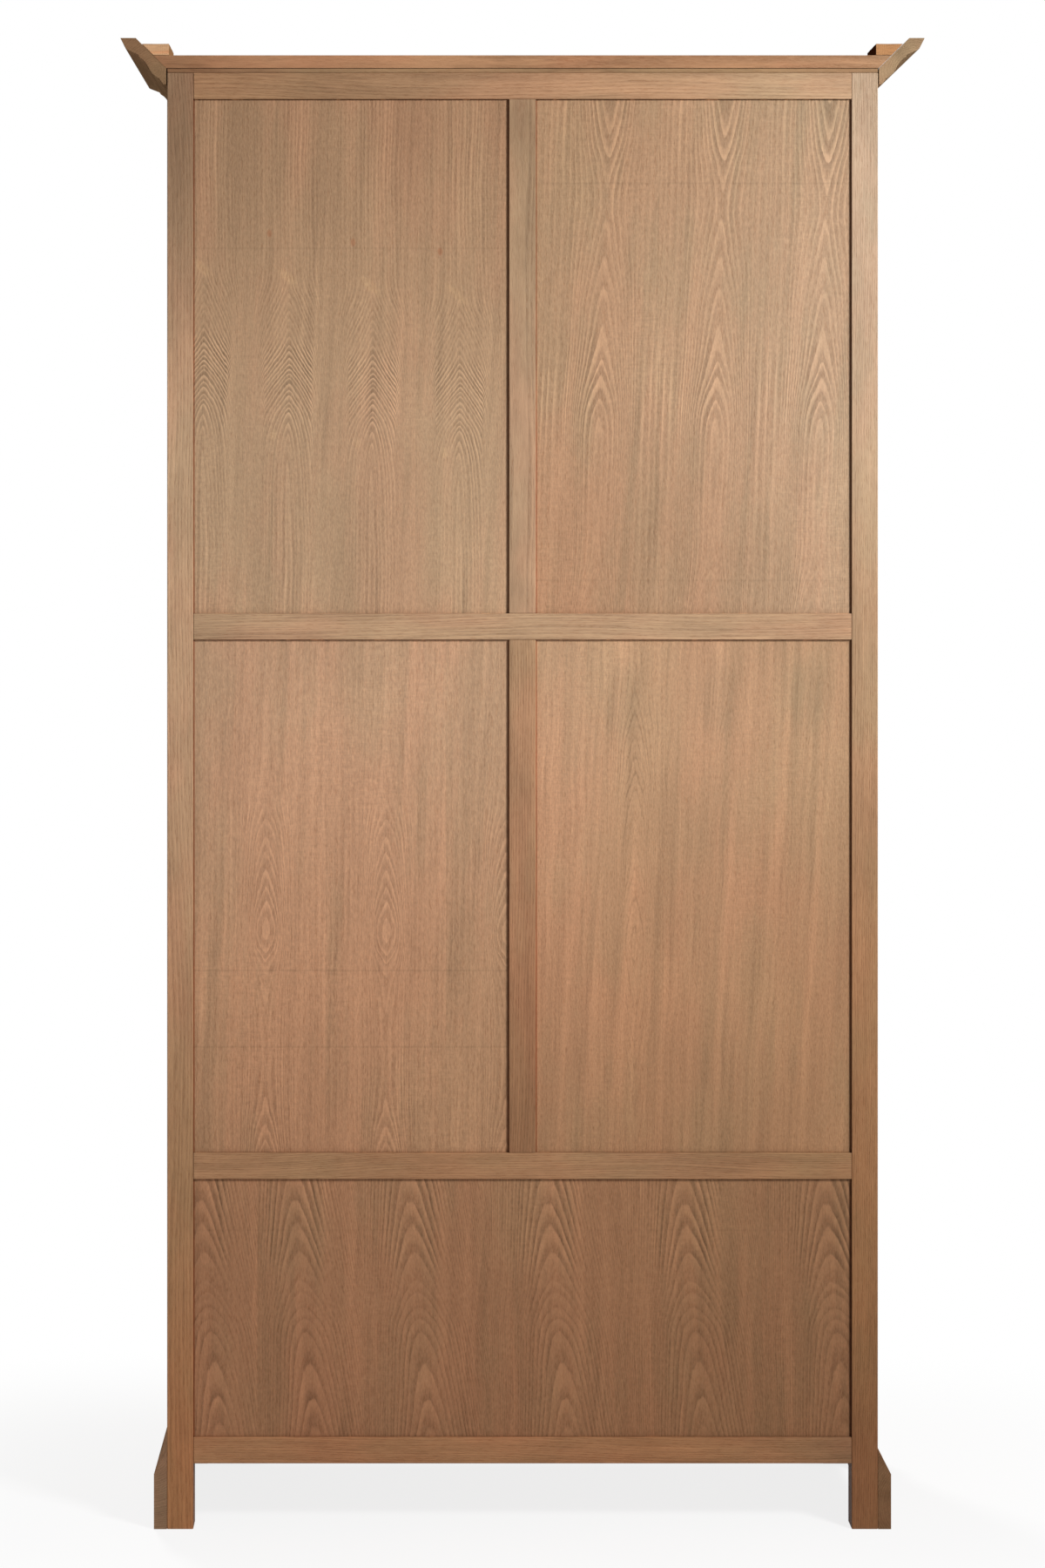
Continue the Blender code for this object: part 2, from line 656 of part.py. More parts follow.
def make_hinges():
    """Two butt hinges for each door, fixed to the inner face of its leg."""
    heights = {"upper": DOOR_HIGH_Z - HINGE_FROM_END, "lower": DOOR_LOW_Z + HINGE_FROM_END}
    for side_word, side in SIDES.items():
        for word, middle in heights.items():
            name = f"door_{side_word}_hinge_{word}"
            location = (side * HINGE_AXIS_X, HINGE_AXIS_Y, middle)
            hinge = place(name, turned_mesh(name, barrel_profile()), location, "aged_bronze")
            spin(hinge, BARREL_STEPS)
            leg_side_x = LEG_INNER_X - FIT
            leaf = box_between(
                (side * leg_side_x, side * (leg_side_x - HINGE_LEAF_THICKNESS)),
                (HINGE_AXIS_Y, FRONT_Y + HINGE_LEAF_DEPTH),
                (middle - HINGE_LENGTH / 2 + FIT, middle + HINGE_LENGTH / 2 - FIT),
            )
            combine([hinge], box_cutter(f"{name}_leaf", leaf), "UNION")


def make_door(word, side):
    """A door: two stiles, three rails tenoned into them, two panels and a knob on its meeting stile."""
    hinge = joint_empty(f"door_{word}_axis", (side * HINGE_AXIS_X, HINGE_AXIS_Y, MIDDLE_BAY_Z))
    hinge_edge, meeting_edge = LEG_INNER_X - DOOR_GAP, DOOR_GAP / 2
    thickness = (FRONT_Y, FRONT_Y + DOOR_THICKNESS)

    def stile(name, outer, inner):
        box = box_between((side * outer, side * inner), thickness, (DOOR_LOW_Z, DOOR_HIGH_Z))
        return board(f"door_{word}_{name}", box, "oak_frame", hinge)

    hinge_stile = stile("hinge_stile", hinge_edge, hinge_edge - DOOR_STILE)
    meeting_stile = stile("meeting_stile", meeting_edge + DOOR_STILE, meeting_edge)
    outer, inner = hinge_edge - DOOR_STILE, meeting_edge + DOOR_STILE
    shoulders = (side * (outer - FIT), side * (inner + FIT))
    by_side = (hinge_stile, meeting_stile) if word == "left" else (meeting_stile, hinge_stile)
    mid_low = MID_RAIL_Z + (RAIL_HEIGHT - DOOR_MID_RAIL) / 2
    levels = {
        "bottom": (DOOR_LOW_Z, DOOR_LOW_Z + DOOR_BOTTOM_RAIL),
        "mid": (mid_low, mid_low + DOOR_MID_RAIL),
        "top": (DOOR_HIGH_Z - DOOR_TOP_RAIL, DOOR_HIGH_Z),
    }
    rails = {}
    for name, level in levels.items():
        box = box_between(shoulders, thickness, level)
        rails[name] = tenoned(
            f"door_{word}_{name}_rail", box, "x", by_side, "oak_frame", hinge, DOOR_TENON_THICKNESS
        )
    face_y = FRONT_Y + DOOR_PANEL_RECESS
    for name, below, above in (("lower", "bottom", "mid"), ("upper", "mid", "top")):
        box = box_between(
            (side * (outer + PANEL_TONGUE), side * (inner - PANEL_TONGUE)),
            (face_y, face_y + DOOR_PANEL_THICKNESS),
            (levels[below][1] - PANEL_TONGUE, levels[above][0] + PANEL_TONGUE),
        )
        holders = [hinge_stile, meeting_stile, rails[below], rails[above]]
        panel(f"door_{word}_panel_{name}", box, "oak_panel", holders, hinge)
    knob(f"door_{word}_knob", side * (meeting_edge + DOOR_STILE / 2), DOOR_KNOB_HEIGHT, hinge)


def drawer_side_outline(margin=0):
    """A drawer side seen from beside it, along Y and up Z, with dovetails on both ends.

    The margin moves the whole outline outwards, for the tool that cuts the sockets.
    """
    pitch = DRAWER_SIDE_HEIGHT / TAIL_COUNT
    root = (pitch - PIN_WIDTH) / 2 + margin
    high_z = DRAWER_LOW_Z + DRAWER_SIDE_HEIGHT
    ends = {
        "front": (DRAWER_SHOULDER_Y - margin, -TAIL_LENGTH),
        "rear": (DRAWER_REAR_Y - DRAWER_BACK_THICKNESS + margin, DRAWER_BACK_THICKNESS),
    }
    tails = {}
    for word, (shoulder, reach) in ends.items():
        flare = abs(reach) * TAIL_FLARE_SHARE
        points = []
        for index in range(TAIL_COUNT):
            centre = DRAWER_LOW_Z + pitch * index + pitch / 2
            points.append(Vector((shoulder, centre - root)))
            points.append(Vector((shoulder + reach, centre - root - flare)))
            points.append(Vector((shoulder + reach, centre + root + flare)))
            points.append(Vector((shoulder, centre + root)))
        foot = Vector((shoulder, DRAWER_LOW_Z - margin))
        head = Vector((shoulder, high_z + margin))
        tails[word] = [foot, *points, head]
    return tails["rear"] + tails["front"][::-1]


def drawer_side_at(item, side, inner_x, outer_x):
    """Stands an extruded drawer-side outline between two distances from the cabinet's middle."""
    item.location = (side * (inner_x + outer_x) / 2, 0, 0)
    turn_to(item, Vector((0, 1, 0)), Vector((0, 0, 1)))


def make_drawer():
    """A deep drawer: front, two dovetailed sides, back, bottom in grooves, and two knobs."""
    slide = joint_empty("drawer_axis", (0, FRONT_Y, LOWER_BAY_Z))
    outer_x = DRAWER_HALF_WIDTH
    inner_x = outer_x - DRAWER_SIDE_THICKNESS
    front_z = (LOWER_BAY_Z + DOOR_GAP, WAIST_RAIL_Z - DOOR_GAP)
    box = box_between((-outer_x, outer_x), (FRONT_Y, FRONT_Y + DRAWER_FRONT_THICKNESS), front_z)
    front = board("drawer_front", box, "oak_panel", slide)
    bottom_low = DRAWER_LOW_Z + DRAWER_BOTTOM_LIFT
    bottom_high = bottom_low + DRAWER_BOTTOM_THICKNESS
    back_y = (DRAWER_REAR_Y - DRAWER_BACK_THICKNESS, DRAWER_REAR_Y)
    back_z = (bottom_high + FIT, DRAWER_LOW_Z + DRAWER_SIDE_HEIGHT - OVERRUN)
    back = board("drawer_back", box_between((-outer_x, outer_x), back_y, back_z), "drawer_wood", slide)
    holders = [front]
    for word, side in SIDES.items():
        name = f"drawer_side_{word}"
        mesh = outline_mesh(name, drawer_side_outline(), DRAWER_SIDE_THICKNESS)
        piece = place(name, mesh, (0, 0, 0), "drawer_wood")
        drawer_side_at(piece, side, inner_x, outer_x)
        piece.parent = slide
        piece.location -= slide.location
        holders.append(piece)
        depth = DRAWER_SIDE_THICKNESS + FIT + OVERRUN
        sockets = outline_mesh(f"{name}_sockets", drawer_side_outline(FIT), depth)
        cutter = as_cutter(bpy.data.objects.new(f"{name}_sockets", sockets))
        drawer_side_at(cutter, side, inner_x - FIT, outer_x + OVERRUN)
        combine([front, back], cutter, "DIFFERENCE")
    reach = inner_x + DRAWER_BOTTOM_TONGUE
    front_y = FRONT_Y + DRAWER_FRONT_THICKNESS - DRAWER_BOTTOM_TONGUE
    box = box_between((-reach, reach), (front_y, DRAWER_REAR_Y), (bottom_low, bottom_high))
    board("drawer_bottom", box, "drawer_wood", slide)
    low, high = grown(box)
    cut_box(holders, (low, Vector((high.x, high.y + OVERRUN, high.z))), "drawer_bottom_groove")
    for word, side in SIDES.items():
        middle_z = (front_z[0] + front_z[1]) / 2
        knob(f"drawer_knob_{word}", side * DRAWER_KNOB_SPACING / 2, middle_z, slide)


def main():
    """Builds the cabinet from its legs outwards."""
    clear_scene()
    legs = make_legs()
    make_back(legs)
    make_front_frame(legs)
    side_panels = make_side_panels(legs)
    make_decks(side_panels)
    make_top()
    make_crown()
    make_base()
    make_hinges()
    for word, side in SIDES.items():
        make_door(word, side)
    make_drawer()


main()
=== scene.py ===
"""Looks of the tall oak cabinet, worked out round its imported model.

Metres, +Z up. The front faces -Y and the framed back, which the camera sees, faces +Y. Left is
-X, as for someone who stands at the front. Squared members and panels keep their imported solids
and get a finish. Mouldings, plinth, glue blocks, knobs and hinges are made finer here, and the
door panels get their beads.
"""
import math

import bmesh
import bpy
import numpy as np
from bpy.props import FloatProperty, FloatVectorProperty, IntProperty, PointerProperty
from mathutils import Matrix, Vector


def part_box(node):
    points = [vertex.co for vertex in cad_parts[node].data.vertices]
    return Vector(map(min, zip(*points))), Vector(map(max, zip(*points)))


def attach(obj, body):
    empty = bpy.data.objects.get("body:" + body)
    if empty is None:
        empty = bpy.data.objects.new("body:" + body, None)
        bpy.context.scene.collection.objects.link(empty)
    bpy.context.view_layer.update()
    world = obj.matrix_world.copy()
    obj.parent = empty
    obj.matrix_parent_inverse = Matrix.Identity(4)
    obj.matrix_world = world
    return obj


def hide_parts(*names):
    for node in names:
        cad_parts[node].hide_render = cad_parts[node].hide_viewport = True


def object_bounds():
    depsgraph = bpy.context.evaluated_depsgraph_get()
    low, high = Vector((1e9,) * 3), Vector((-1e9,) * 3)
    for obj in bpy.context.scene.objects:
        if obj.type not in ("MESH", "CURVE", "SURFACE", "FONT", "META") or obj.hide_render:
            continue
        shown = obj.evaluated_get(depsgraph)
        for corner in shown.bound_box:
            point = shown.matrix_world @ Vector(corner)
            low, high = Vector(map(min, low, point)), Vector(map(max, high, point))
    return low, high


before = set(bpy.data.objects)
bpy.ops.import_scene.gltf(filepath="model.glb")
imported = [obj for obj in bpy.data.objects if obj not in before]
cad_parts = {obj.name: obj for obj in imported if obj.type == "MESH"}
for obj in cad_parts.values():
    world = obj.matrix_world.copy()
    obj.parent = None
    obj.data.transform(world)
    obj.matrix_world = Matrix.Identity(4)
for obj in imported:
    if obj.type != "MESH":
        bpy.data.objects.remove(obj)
CAD_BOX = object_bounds()

bl_info = {
    "name": "Tall oak cabinet",
    "version": (1, 0, 0),
    "blender": (4, 5, 0),
    "location": "3D View > Sidebar > Cabinet",
    "description": "Finishes and fine pieces of a tall framed oak cabinet",
    "category": "Object",
}

HEIGHT = CAD_BOX[1].z
REAR_Y = CAD_BOX[1].y
HALF_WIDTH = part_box("rear_leg_right")[1].x
FRONT_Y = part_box("front_leg_left")[0].y
FIT = 0.0003
WELD = 0.000001
SIDES = {"left": -1, "right": 1}
PLAIN = (1.0, 1.0, 1.0)


# Settings


def metres(name, description, default, **limits):
    """A setting in metres."""
    return FloatProperty(
        name=name, description=description, default=default, precision=4, unit="LENGTH", **limits)


def watts(name, description, default):
    """A setting in watts."""
    return FloatProperty(name=name, description=description, default=default, min=0, unit="POWER")


def fraction(name, description, default):
    """A setting from 0 to 1."""
    return FloatProperty(name=name, description=description, default=default, min=0, max=1)


def paint(name, description, default, most=1.0):
    """A colour, or a tint whose parts may be more than 1."""
    return FloatVectorProperty(
        name=name, description=description, default=default, min=0, max=most, subtype="COLOR")


def whole(name, description, default, least):
    """A whole number."""
    return IntProperty(name=name, description=description, default=default, min=least)


class StageSettings(bpy.types.PropertyGroup):
    """Camera, lamps and floor."""

    camera_x: metres("Camera place across", "How far the camera stands to the side", 0.160)
    camera_distance: metres(
        "Camera distance", "From the back of the cabinet to the camera", 5.6, min=1)
    camera_height: metres("Camera height", "Height of the camera above the floor", 1.485)
    view_height: metres(
        "View height", "Height of what the camera sees, at the cabinet's back", 2.34, min=0.1)
    view_bottom: metres(
        "View bottom", "Lowest point that the camera sees, at the cabinet's back", -0.0579)
    rear_lamp: watts("Rear lamp", "Power of the soft lamp that lights the back", 163)
    front_lamp: watts("Front lamp", "Power of the soft lamp that lights the front", 150)
    lamp_size: metres("Lamp size", "Side of each square lamp", 0.9, min=0.1)
    fill: fraction("Fill", "Strength of the light from all round", 0.16)
    floor_colour: paint("Floor", "Colour of the floor", (0.86, 0.86, 0.86))


class OakSettings(bpy.types.PropertyGroup):
    """Colours and grain of the stained oak."""

    # Darker near the floor: partly the stain, partly painted shade of light that fades downwards
    top_colour: paint("Top", "Stain at the top of the cabinet", (0.3896, 0.2412, 0.1404))
    upper_colour: paint("Upper", "Stain at the height of the eyes", (0.4839, 0.3062, 0.1875))
    middle_colour: paint("Middle", "Stain at half height", (0.5178, 0.3093, 0.1860))
    waist_colour: paint("Waist", "Stain at the height of a table", (0.4563, 0.2496, 0.1391))
    low_colour: paint("Low", "Stain at the height of the knee", (0.3595, 0.1906, 0.1007))
    foot_colour: paint("Foot", "Stain near the floor", (0.3259, 0.1629, 0.0842))
    pink: paint("Pink cast", "Tint of the warmer streaks", (1.030, 0.980, 0.965), 2)
    tan: paint("Tan cast", "Tint of the cooler streaks", (0.975, 1.002, 0.985), 2)
    # This tint lies along the panels' edges as dust together with painted shadow
    dust: paint("Dirt", "Tint of the dirt in the corners", (0.34, 0.20, 0.14))
    red_line: paint(
        "Red line", "Tint of the stain that has gathered beside the panels", (0.55, 0.27, 0.18), 2)
    chips: paint(
        "Chips", "Tint of the chipped corners, where raw wood shows", (1.25, 0.88, 0.62), 2)
    ring_spacing: metres(
        "Ring spacing", "Distance between growth rings in solid members", 0.0032, min=0.0005)
    leaf_ring_spacing: metres(
        "Leaf ring spacing", "Distance between growth rings in veneer", 0.0047, min=0.0005)
    ring_contrast: fraction(
        "Ring contrast", "How much a ring lightens from its pores outwards", 0.28)
    pore_tint: paint("Pores", "Tint of the pores, which hold the stain", (0.86, 0.80, 0.76), 2)
    roughness: fraction("Roughness", "Roughness of the waxed surface", 0.58)


class DetailSettings(bpy.types.PropertyGroup):
    """Sizes and colours of mouldings and hardware."""

    curve_steps: whole("Curve steps", "Steps along the crown's double curve", 48, 4)
    round_steps: whole("Round steps", "Steps round a turned piece", 64, 12)
    edge_ease: metres("Eased edges", "Width of the ease on moulded edges", 0.0005, min=0.0001)
    bead_radius: metres(
        "Bead radius", "Radius of the bead round each door panel", 0.0055, min=0.001)
    raw_colour: paint("Raw wood", "Colour of the sawn glue blocks", (0.678, 0.383, 0.192))
    drawer_colour: paint(
        "Drawer wood", "Colour of the unstained drawer box", (0.600, 0.430, 0.270))
    bronze_colour: paint(
        "Bronze", "Colour of the bronze where hands have worn it", (0.240, 0.150, 0.085))
    patina_colour: paint(
        "Patina", "Colour of the bronze's dark patina", (0.048, 0.034, 0.026))


SETTINGS = {
    "cabinet_stage": StageSettings, "cabinet_oak": OakSettings, "cabinet_detail": DetailSettings,
}


def settings(name):
    """The scene's settings of that group."""
    return getattr(bpy.context.scene, name)


# Materials

WAX_GLOSS = 0.1


def adds(operation, swapped=False):
    """A method that adds one Math node to the tree of a Wire."""

    def method(self, *others):
        operands = (*others, self) if swapped else (self, *others)
        return self.finish.maths(operation, *operands)

    return method


class Wire:
    """An output socket. Arithmetic on a Wire adds Math nodes to the tree that it belongs to."""

    def __init__(self, finish, socket):
        self.finish = finish
        self.socket = socket

    __add__ = __radd__ = adds("ADD")
    __sub__, __rsub__ = adds("SUBTRACT"), adds("SUBTRACT", swapped=True)
    __mul__ = __rmul__ = adds("MULTIPLY")
    __truediv__, __rtruediv__ = adds("DIVIDE"), adds("DIVIDE", swapped=True)
    __pow__ = adds("POWER")
    __gt__ = adds("GREATER_THAN")
    __abs__ = adds("ABSOLUTE")
    lower = adds("MINIMUM")
    higher = adds("MAXIMUM")


class Finish:
    """A node tree being filled. One method adds any node, and the others name common ones."""

    def __init__(self, owner):
        owner.use_nodes = True
        self.owner = owner
        self.tree = owner.node_tree
        self.tree.nodes.clear()

    def node(self, kind, options=None, inputs=None, output=0):
        """Adds a node: its settings first, then the values or links of its inputs."""
        node = self.tree.nodes.new(kind)
        for key, value in (options or {}).items():
            if key == "stops":
                ramp = node.color_ramp
                while len(ramp.elements) < len(value):
                    ramp.elements.new(1)
                for stop, (position, colour) in zip(ramp.elements, value):
                    stop.position = position
                    stop.color = (*colour, 1)
            elif key == "points":
                curve = node.mapping.curves[0]
                while len(curve.points) < len(value):
                    curve.points.new(1, 1)
                for point, place in zip(curve.points, value):
                    point.location = place
                node.mapping.update()
            else:
                setattr(node, key, value)
        for key, value in (inputs or {}).items():
            if isinstance(value, Wire):
                self.tree.links.new(value.socket, node.inputs[key])
            else:
                node.inputs[key].default_value = value
        return Wire(self, node.outputs[output])

    def maths(self, operation, *operands):
        """The result of one Math node."""
        return self.node("ShaderNodeMath", {"operation": operation}, dict(enumerate(operands)))

    def parts(self, vector):
        """The three numbers of a vector."""
        node = self.node("ShaderNodeSeparateXYZ", {}, {0: vector}).socket.node
        return [Wire(self, socket) for socket in node.outputs]

    def place(self):
        """Where a point is, in metres from the origin."""
        return self.parts(self.node("ShaderNodeTexCoord", output="Object"))

    def facing(self):
        """Which way the surface faces, on the piece itself."""
        return self.parts(self.node("ShaderNodeTexCoord", output="Normal"))

    def smooth(self, value, low, high):
        """0 up to low, 1 from high, and a smooth step between them."""
        ends = {"Value": value, "From Min": low, "From Max": high}
        return self.node("ShaderNodeMapRange", {"interpolation_type": "SMOOTHSTEP"}, ends)

    def noise(self, x, y, z, detail=2.0, roughness=0.55):
        """Smooth noise about 0. A place times a number has that many waves to the metre."""
        place = self.node("ShaderNodeCombineXYZ", {}, {0: x, 1: y, 2: z})
        inputs = {"Vector": place, "Scale": 1.0, "Detail": detail, "Roughness": roughness}
        return self.node("ShaderNodeTexNoise", {}, inputs) - 0.5

    def curve(self, value, points, low, high, scale):
        """A curve through (value, result) points, for values from low to high."""
        reach = high - low
        shares = sorted(((place - low) / reach, result / scale) for place, result in points)
        factor = (value - low) / reach
        return self.node("ShaderNodeFloatCurve", {"points": shares}, {"Value": factor}) * scale

    def blend(self, factor, first, second):
        """One colour where the factor is 0 and another where it is 1."""
        options = {"data_type": "RGBA", "clamp_factor": True}
        inputs = {0: factor, 6: colour_of(first), 7: colour_of(second)}
        return self.node("ShaderNodeMix", options, inputs, output=2)

    def tinted(self, colour, tint):
        """A colour multiplied by another."""
        inputs = {0: vector_of(colour), 1: vector_of(tint)}
        return self.node("ShaderNodeVectorMath", {"operation": "MULTIPLY"}, inputs)

    def marked(self, colour, mask, tint):
        """A colour that takes a tint where the mask is 1."""
        return self.tinted(colour, self.blend(mask, PLAIN, tint))

    def lit(self, colour, amount):
        """A colour made lighter or darker."""
        inputs = {0: vector_of(colour), "Scale": amount}
        return self.node("ShaderNodeVectorMath", {"operation": "SCALE"}, inputs)

    def shine(self, colour, roughness, bump, depth, metallic=0.0, gloss=WAX_GLOSS):
        """Ends a material: a Principled shader with a bump of that depth in metres."""
        relief = {"Strength": 1.0, "Distance": depth, "Height": bump}
        shader = self.node("ShaderNodeBsdfPrincipled", {}, {
            "Base Color": colour, "Roughness": roughness, "Metallic": metallic,
            "Normal": self.node("ShaderNodeBump", {}, relief), "Specular IOR Level": gloss,
        })
        self.end(shader)
        return self.owner

    def end(self, shader, kind="ShaderNodeOutputMaterial"):
        """Links the shader to the tree's output."""
        output = self.tree.nodes.new(kind)
        self.tree.links.new(shader.socket, output.inputs["Surface"])


def colour_of(value):
    """A link as it is, or three numbers as a colour."""
    return value if isinstance(value, Wire) else (*value, 1)


def vector_of(value):
    """A link as it is, or three numbers as a vector."""
    return value if isinstance(value, Wire) else tuple(value)


def new_finish(name):
    """A new material to fill."""
    return Finish(bpy.data.materials.new(name))


def span(first, second):
    """The distance between two points that lie that far apart along two square axes."""
    return (first * first + second * second) ** 0.5


# Heights at which the oak has the colour of each setting; darker downwards partly as painted shade
STAIN_AND_SHADE_HEIGHTS = {
    "foot": 0.15, "low": 0.47, "waist": 0.80, "middle": 1.20, "upper": 1.65, "top": 2.10,
}


def stain(finish, z):
    """The oak's colour at a height: darker near the floor, partly stain and partly painted shade.
    """
    oak = settings("cabinet_oak")
    stops = [
        (place / HEIGHT, getattr(oak, f"{word}_colour")) for word, place in STAIN_AND_SHADE_HEIGHTS.items()
    ]
    return finish.node("ShaderNodeValToRGB", {"stops": stops}, {"Fac": z / HEIGHT})


def shaded(finish, colour, places, shades):
    """A colour multiplied by tints that change along axes, given as (place, tint) stops.

    A ramp holds no more than 1, so it holds half of each tint.
    """
    for letter, tints in (shades or {}).items():
        low, high = tints[0][0], tints[-1][0]
        reach = high - low
        stops = [((at - low) / reach, [part / 2 for part in tint]) for at, tint in tints]
        share = (places[letter] - low) / reach
        halves = finish.node("ShaderNodeValToRGB", {"stops": stops}, {"Fac": share})
        colour = finish.lit(finish.tinted(colour, halves), 2)
    return colour


def cast(finish, colour, mask):
    """Turns a colour from the tan to the pink cast as the mask goes from 0 to 1."""
    oak = settings("cabinet_oak")
    return finish.tinted(colour, finish.blend(mask, oak.tan, oak.pink))


# Waves of the pores to the metre, across and along the grain
PORES_ACROSS = 1100
PORES_ALONG = 110


def pores_of(finish, across, deep, along):
    """1 in the open pores, which are long along the grain."""
    pores = finish.noise(across * PORES_ACROSS, deep, along * PORES_ALONG, detail=1)
    return finish.smooth(pores, 0.0, 0.14)


# Layers of light and dark in solid oak: waves to the metre across and along the grain, multiples
# of the seed that shift them across, deep and along, the noise's detail, and their strength
SOLID_LAYERS = {
    "streak": (430, 34, (0, 0, 1), 3, 0.40), "band": (55, 2.4, (1, 0, 0), 3, 0.40),
    "ribbon": (24, 3.5, (0, 1, 0), 3, 0.55), "blotch": (16, 8, (0, 0, 2), 3, 0.30),
}
FIBRE_STRENGTH = 0.26
SOLID_RINGS = 0.62
END_TONE = 0.78
WORN_EDGE = 0.10
DUST_ROUGHNESS = 0.35
GOLDEN_ANGLE = 2.399
# How far the pith lies from a board's middle and by how much that varies, how far it wanders
# along the board, and the greatest slope of the board across it
PITH_REACH = (0.050, 0.022)
PITH_WANDER = 0.045
PITH_SLOPE = 0.014
# The axes along, across and deep for a grain along each axis
GRAIN_AXES = {"x": "xzy", "y": "yxz", "z": "zxy"}


def solid_oak(name, box, grain, seed, tint=PLAIN, shades=None, painted_shade_side=None, end_tone=END_TONE,
              colour=None, gloss=WAX_GLOSS):
    """Oak sawn from the log: growth rings about a pith beside the board, pores along the grain.

    The ring number is the distance from the pith divided by the ring spacing, and the pith
    wanders slowly along the board. Each ring lightens outwards and ends at the next one's pores.
    A side with painted shade is an axis, which way along it the side faces, and the shade's tint.
    """
    oak = settings("cabinet_oak")
    finish = new_finish(name)
    places = dict(zip("xyz", finish.place()))
    faces = dict(zip("xyz", finish.facing()))
    middle = (box[0] + box[1]) / 2
    order = GRAIN_AXES[grain]
    along, across, deep = (places[letter] for letter in order)
    angle = seed * GOLDEN_ANGLE
    reach = PITH_REACH[0] + PITH_REACH[1] * math.sin(seed * 5.1)
    side = across - (getattr(middle, order[1]) + reach * math.cos(angle))
    back = deep - (getattr(middle, order[2]) + reach * math.sin(angle))
    wander = finish.noise(along * 1.7, seed, 0.0, detail=1)
    side = side + wander * PITH_WANDER + along * (PITH_SLOPE * math.sin(seed * 1.7))

    def layer(wide, long, shifts, detail=2.0):
        scaled = (across * wide, deep * wide, along * long)
        shifted = [place + seed * by if by else place for place, by in zip(scaled, shifts)]
        return finish.noise(*shifted, detail=detail)

    jag, drift = layer(170, 9, (0, 0, 1)), layer(18, 1.1, (1, 0, 0), 1)
    number = span(side, back) / oak.ring_spacing + jag * 0.9 + drift * 2
    growth, ring = grown(finish, number, seed)
    fibre = finish.noise(growth * 2.3, seed, along * 12)
    light = 1 + ringed(ring) * (oak.ring_contrast * SOLID_RINGS) + fibre * FIBRE_STRENGTH
    layers = {word: layer(*how) for word, (*how, strength) in SOLID_LAYERS.items()}
    for word, made in layers.items():
        light = light + made * SOLID_LAYERS[word][-1]
    end = finish.smooth(abs(faces[grain]), 0.6, 0.85)
    squarest = abs(faces["x"]).higher(abs(faces["y"])).higher(abs(faces["z"]))
    edge = 1 - finish.smooth(squarest, 0.8, 0.9)
    light = light * (1 - end * (1 - end_tone)) * (1 + edge * WORN_EDGE)
    warm = finish.noise(across * 15 + seed * 3, deep * 15, along * 5, detail=2)
    base = stain(finish, places["z"]) if colour is None else colour
    shade = finish.tinted(cast(finish, base, finish.smooth(warm, -0.12, 0.14)), tint)
    shade = shaded(finish, shade, places, shades)
    # Painted shade on the side that faces that way along the axis
    if painted_shade_side:
        letter, way, painted_shade_tint = painted_shade_side
        shade = finish.marked(shade, finish.smooth(faces[letter] * way, 0.6, 0.9), painted_shade_tint)
    pores = pores_of(finish, across, deep * PORES_ACROSS, along)
    shade = finish.marked(finish.lit(shade, light), pores * (1.1 - ring), oak.pore_tint)
    dust = finish.smooth(faces["z"], 0.7, 0.95) * DUST_ROUGHNESS
    roughness = oak.roughness + pores * 0.12 + layers["streak"] * 0.1 + dust
    return finish.shine(shade, roughness, ring * 0.3 - pores, 0.00012, gloss=gloss)


def stepped(value, centres):
    """The centre of the leaf that a value lies in, and how many leaves come before it."""
    centre, count = centres[0], 0
    for before, after in zip(centres, centres[1:]):
        beyond = value > (before + after) / 2
        past = beyond if after > before else 1 - beyond
        centre = past * (after - before) + centre
        count = past + count
    return centre, count


def grown(finish, growth, seed):
    """A ring number made uneven, as wide and narrow years make it, and its share of a ring."""
    growth = growth + finish.noise(growth * 0.5, seed, 0.0) * 1.7
    return growth, finish.maths("FRACT", growth)


def ringed(ring, pale=(0.0, 0.86)):
    """Lightness of a ring about 0: it pales between those shares, and falls back at its edge."""
    smooth = ring.finish.smooth
    return smooth(ring, *pale) - smooth(ring, 0.90, 1.0) - (0.95 - (pale[0] + pale[1]) / 2)


# How much each layer of noise lightens the veneer
LEAF_LAYERS = {"fibre": 0.22, "streak": 0.58, "band": 0.52, "cloud": 0.30, "mottle": 0.24}
LEAF_CONTRAST = 0.015
LINE_WIDTHS = (0.0006, 0.0022)
# Greatest values of the curves of rise and of vividness
MOST_RISE = 0.2
MOST_VIVID = 2.0
# Widths of the marks along a panel's edges: at low and high X, at the top and at the bottom
# At high X the red line; elsewhere dust with painted shadow, widest at low X and at the top
EDGE_MARK_WIDTHS = (0.0042, 0.0026, 0.0019, 0.0005)


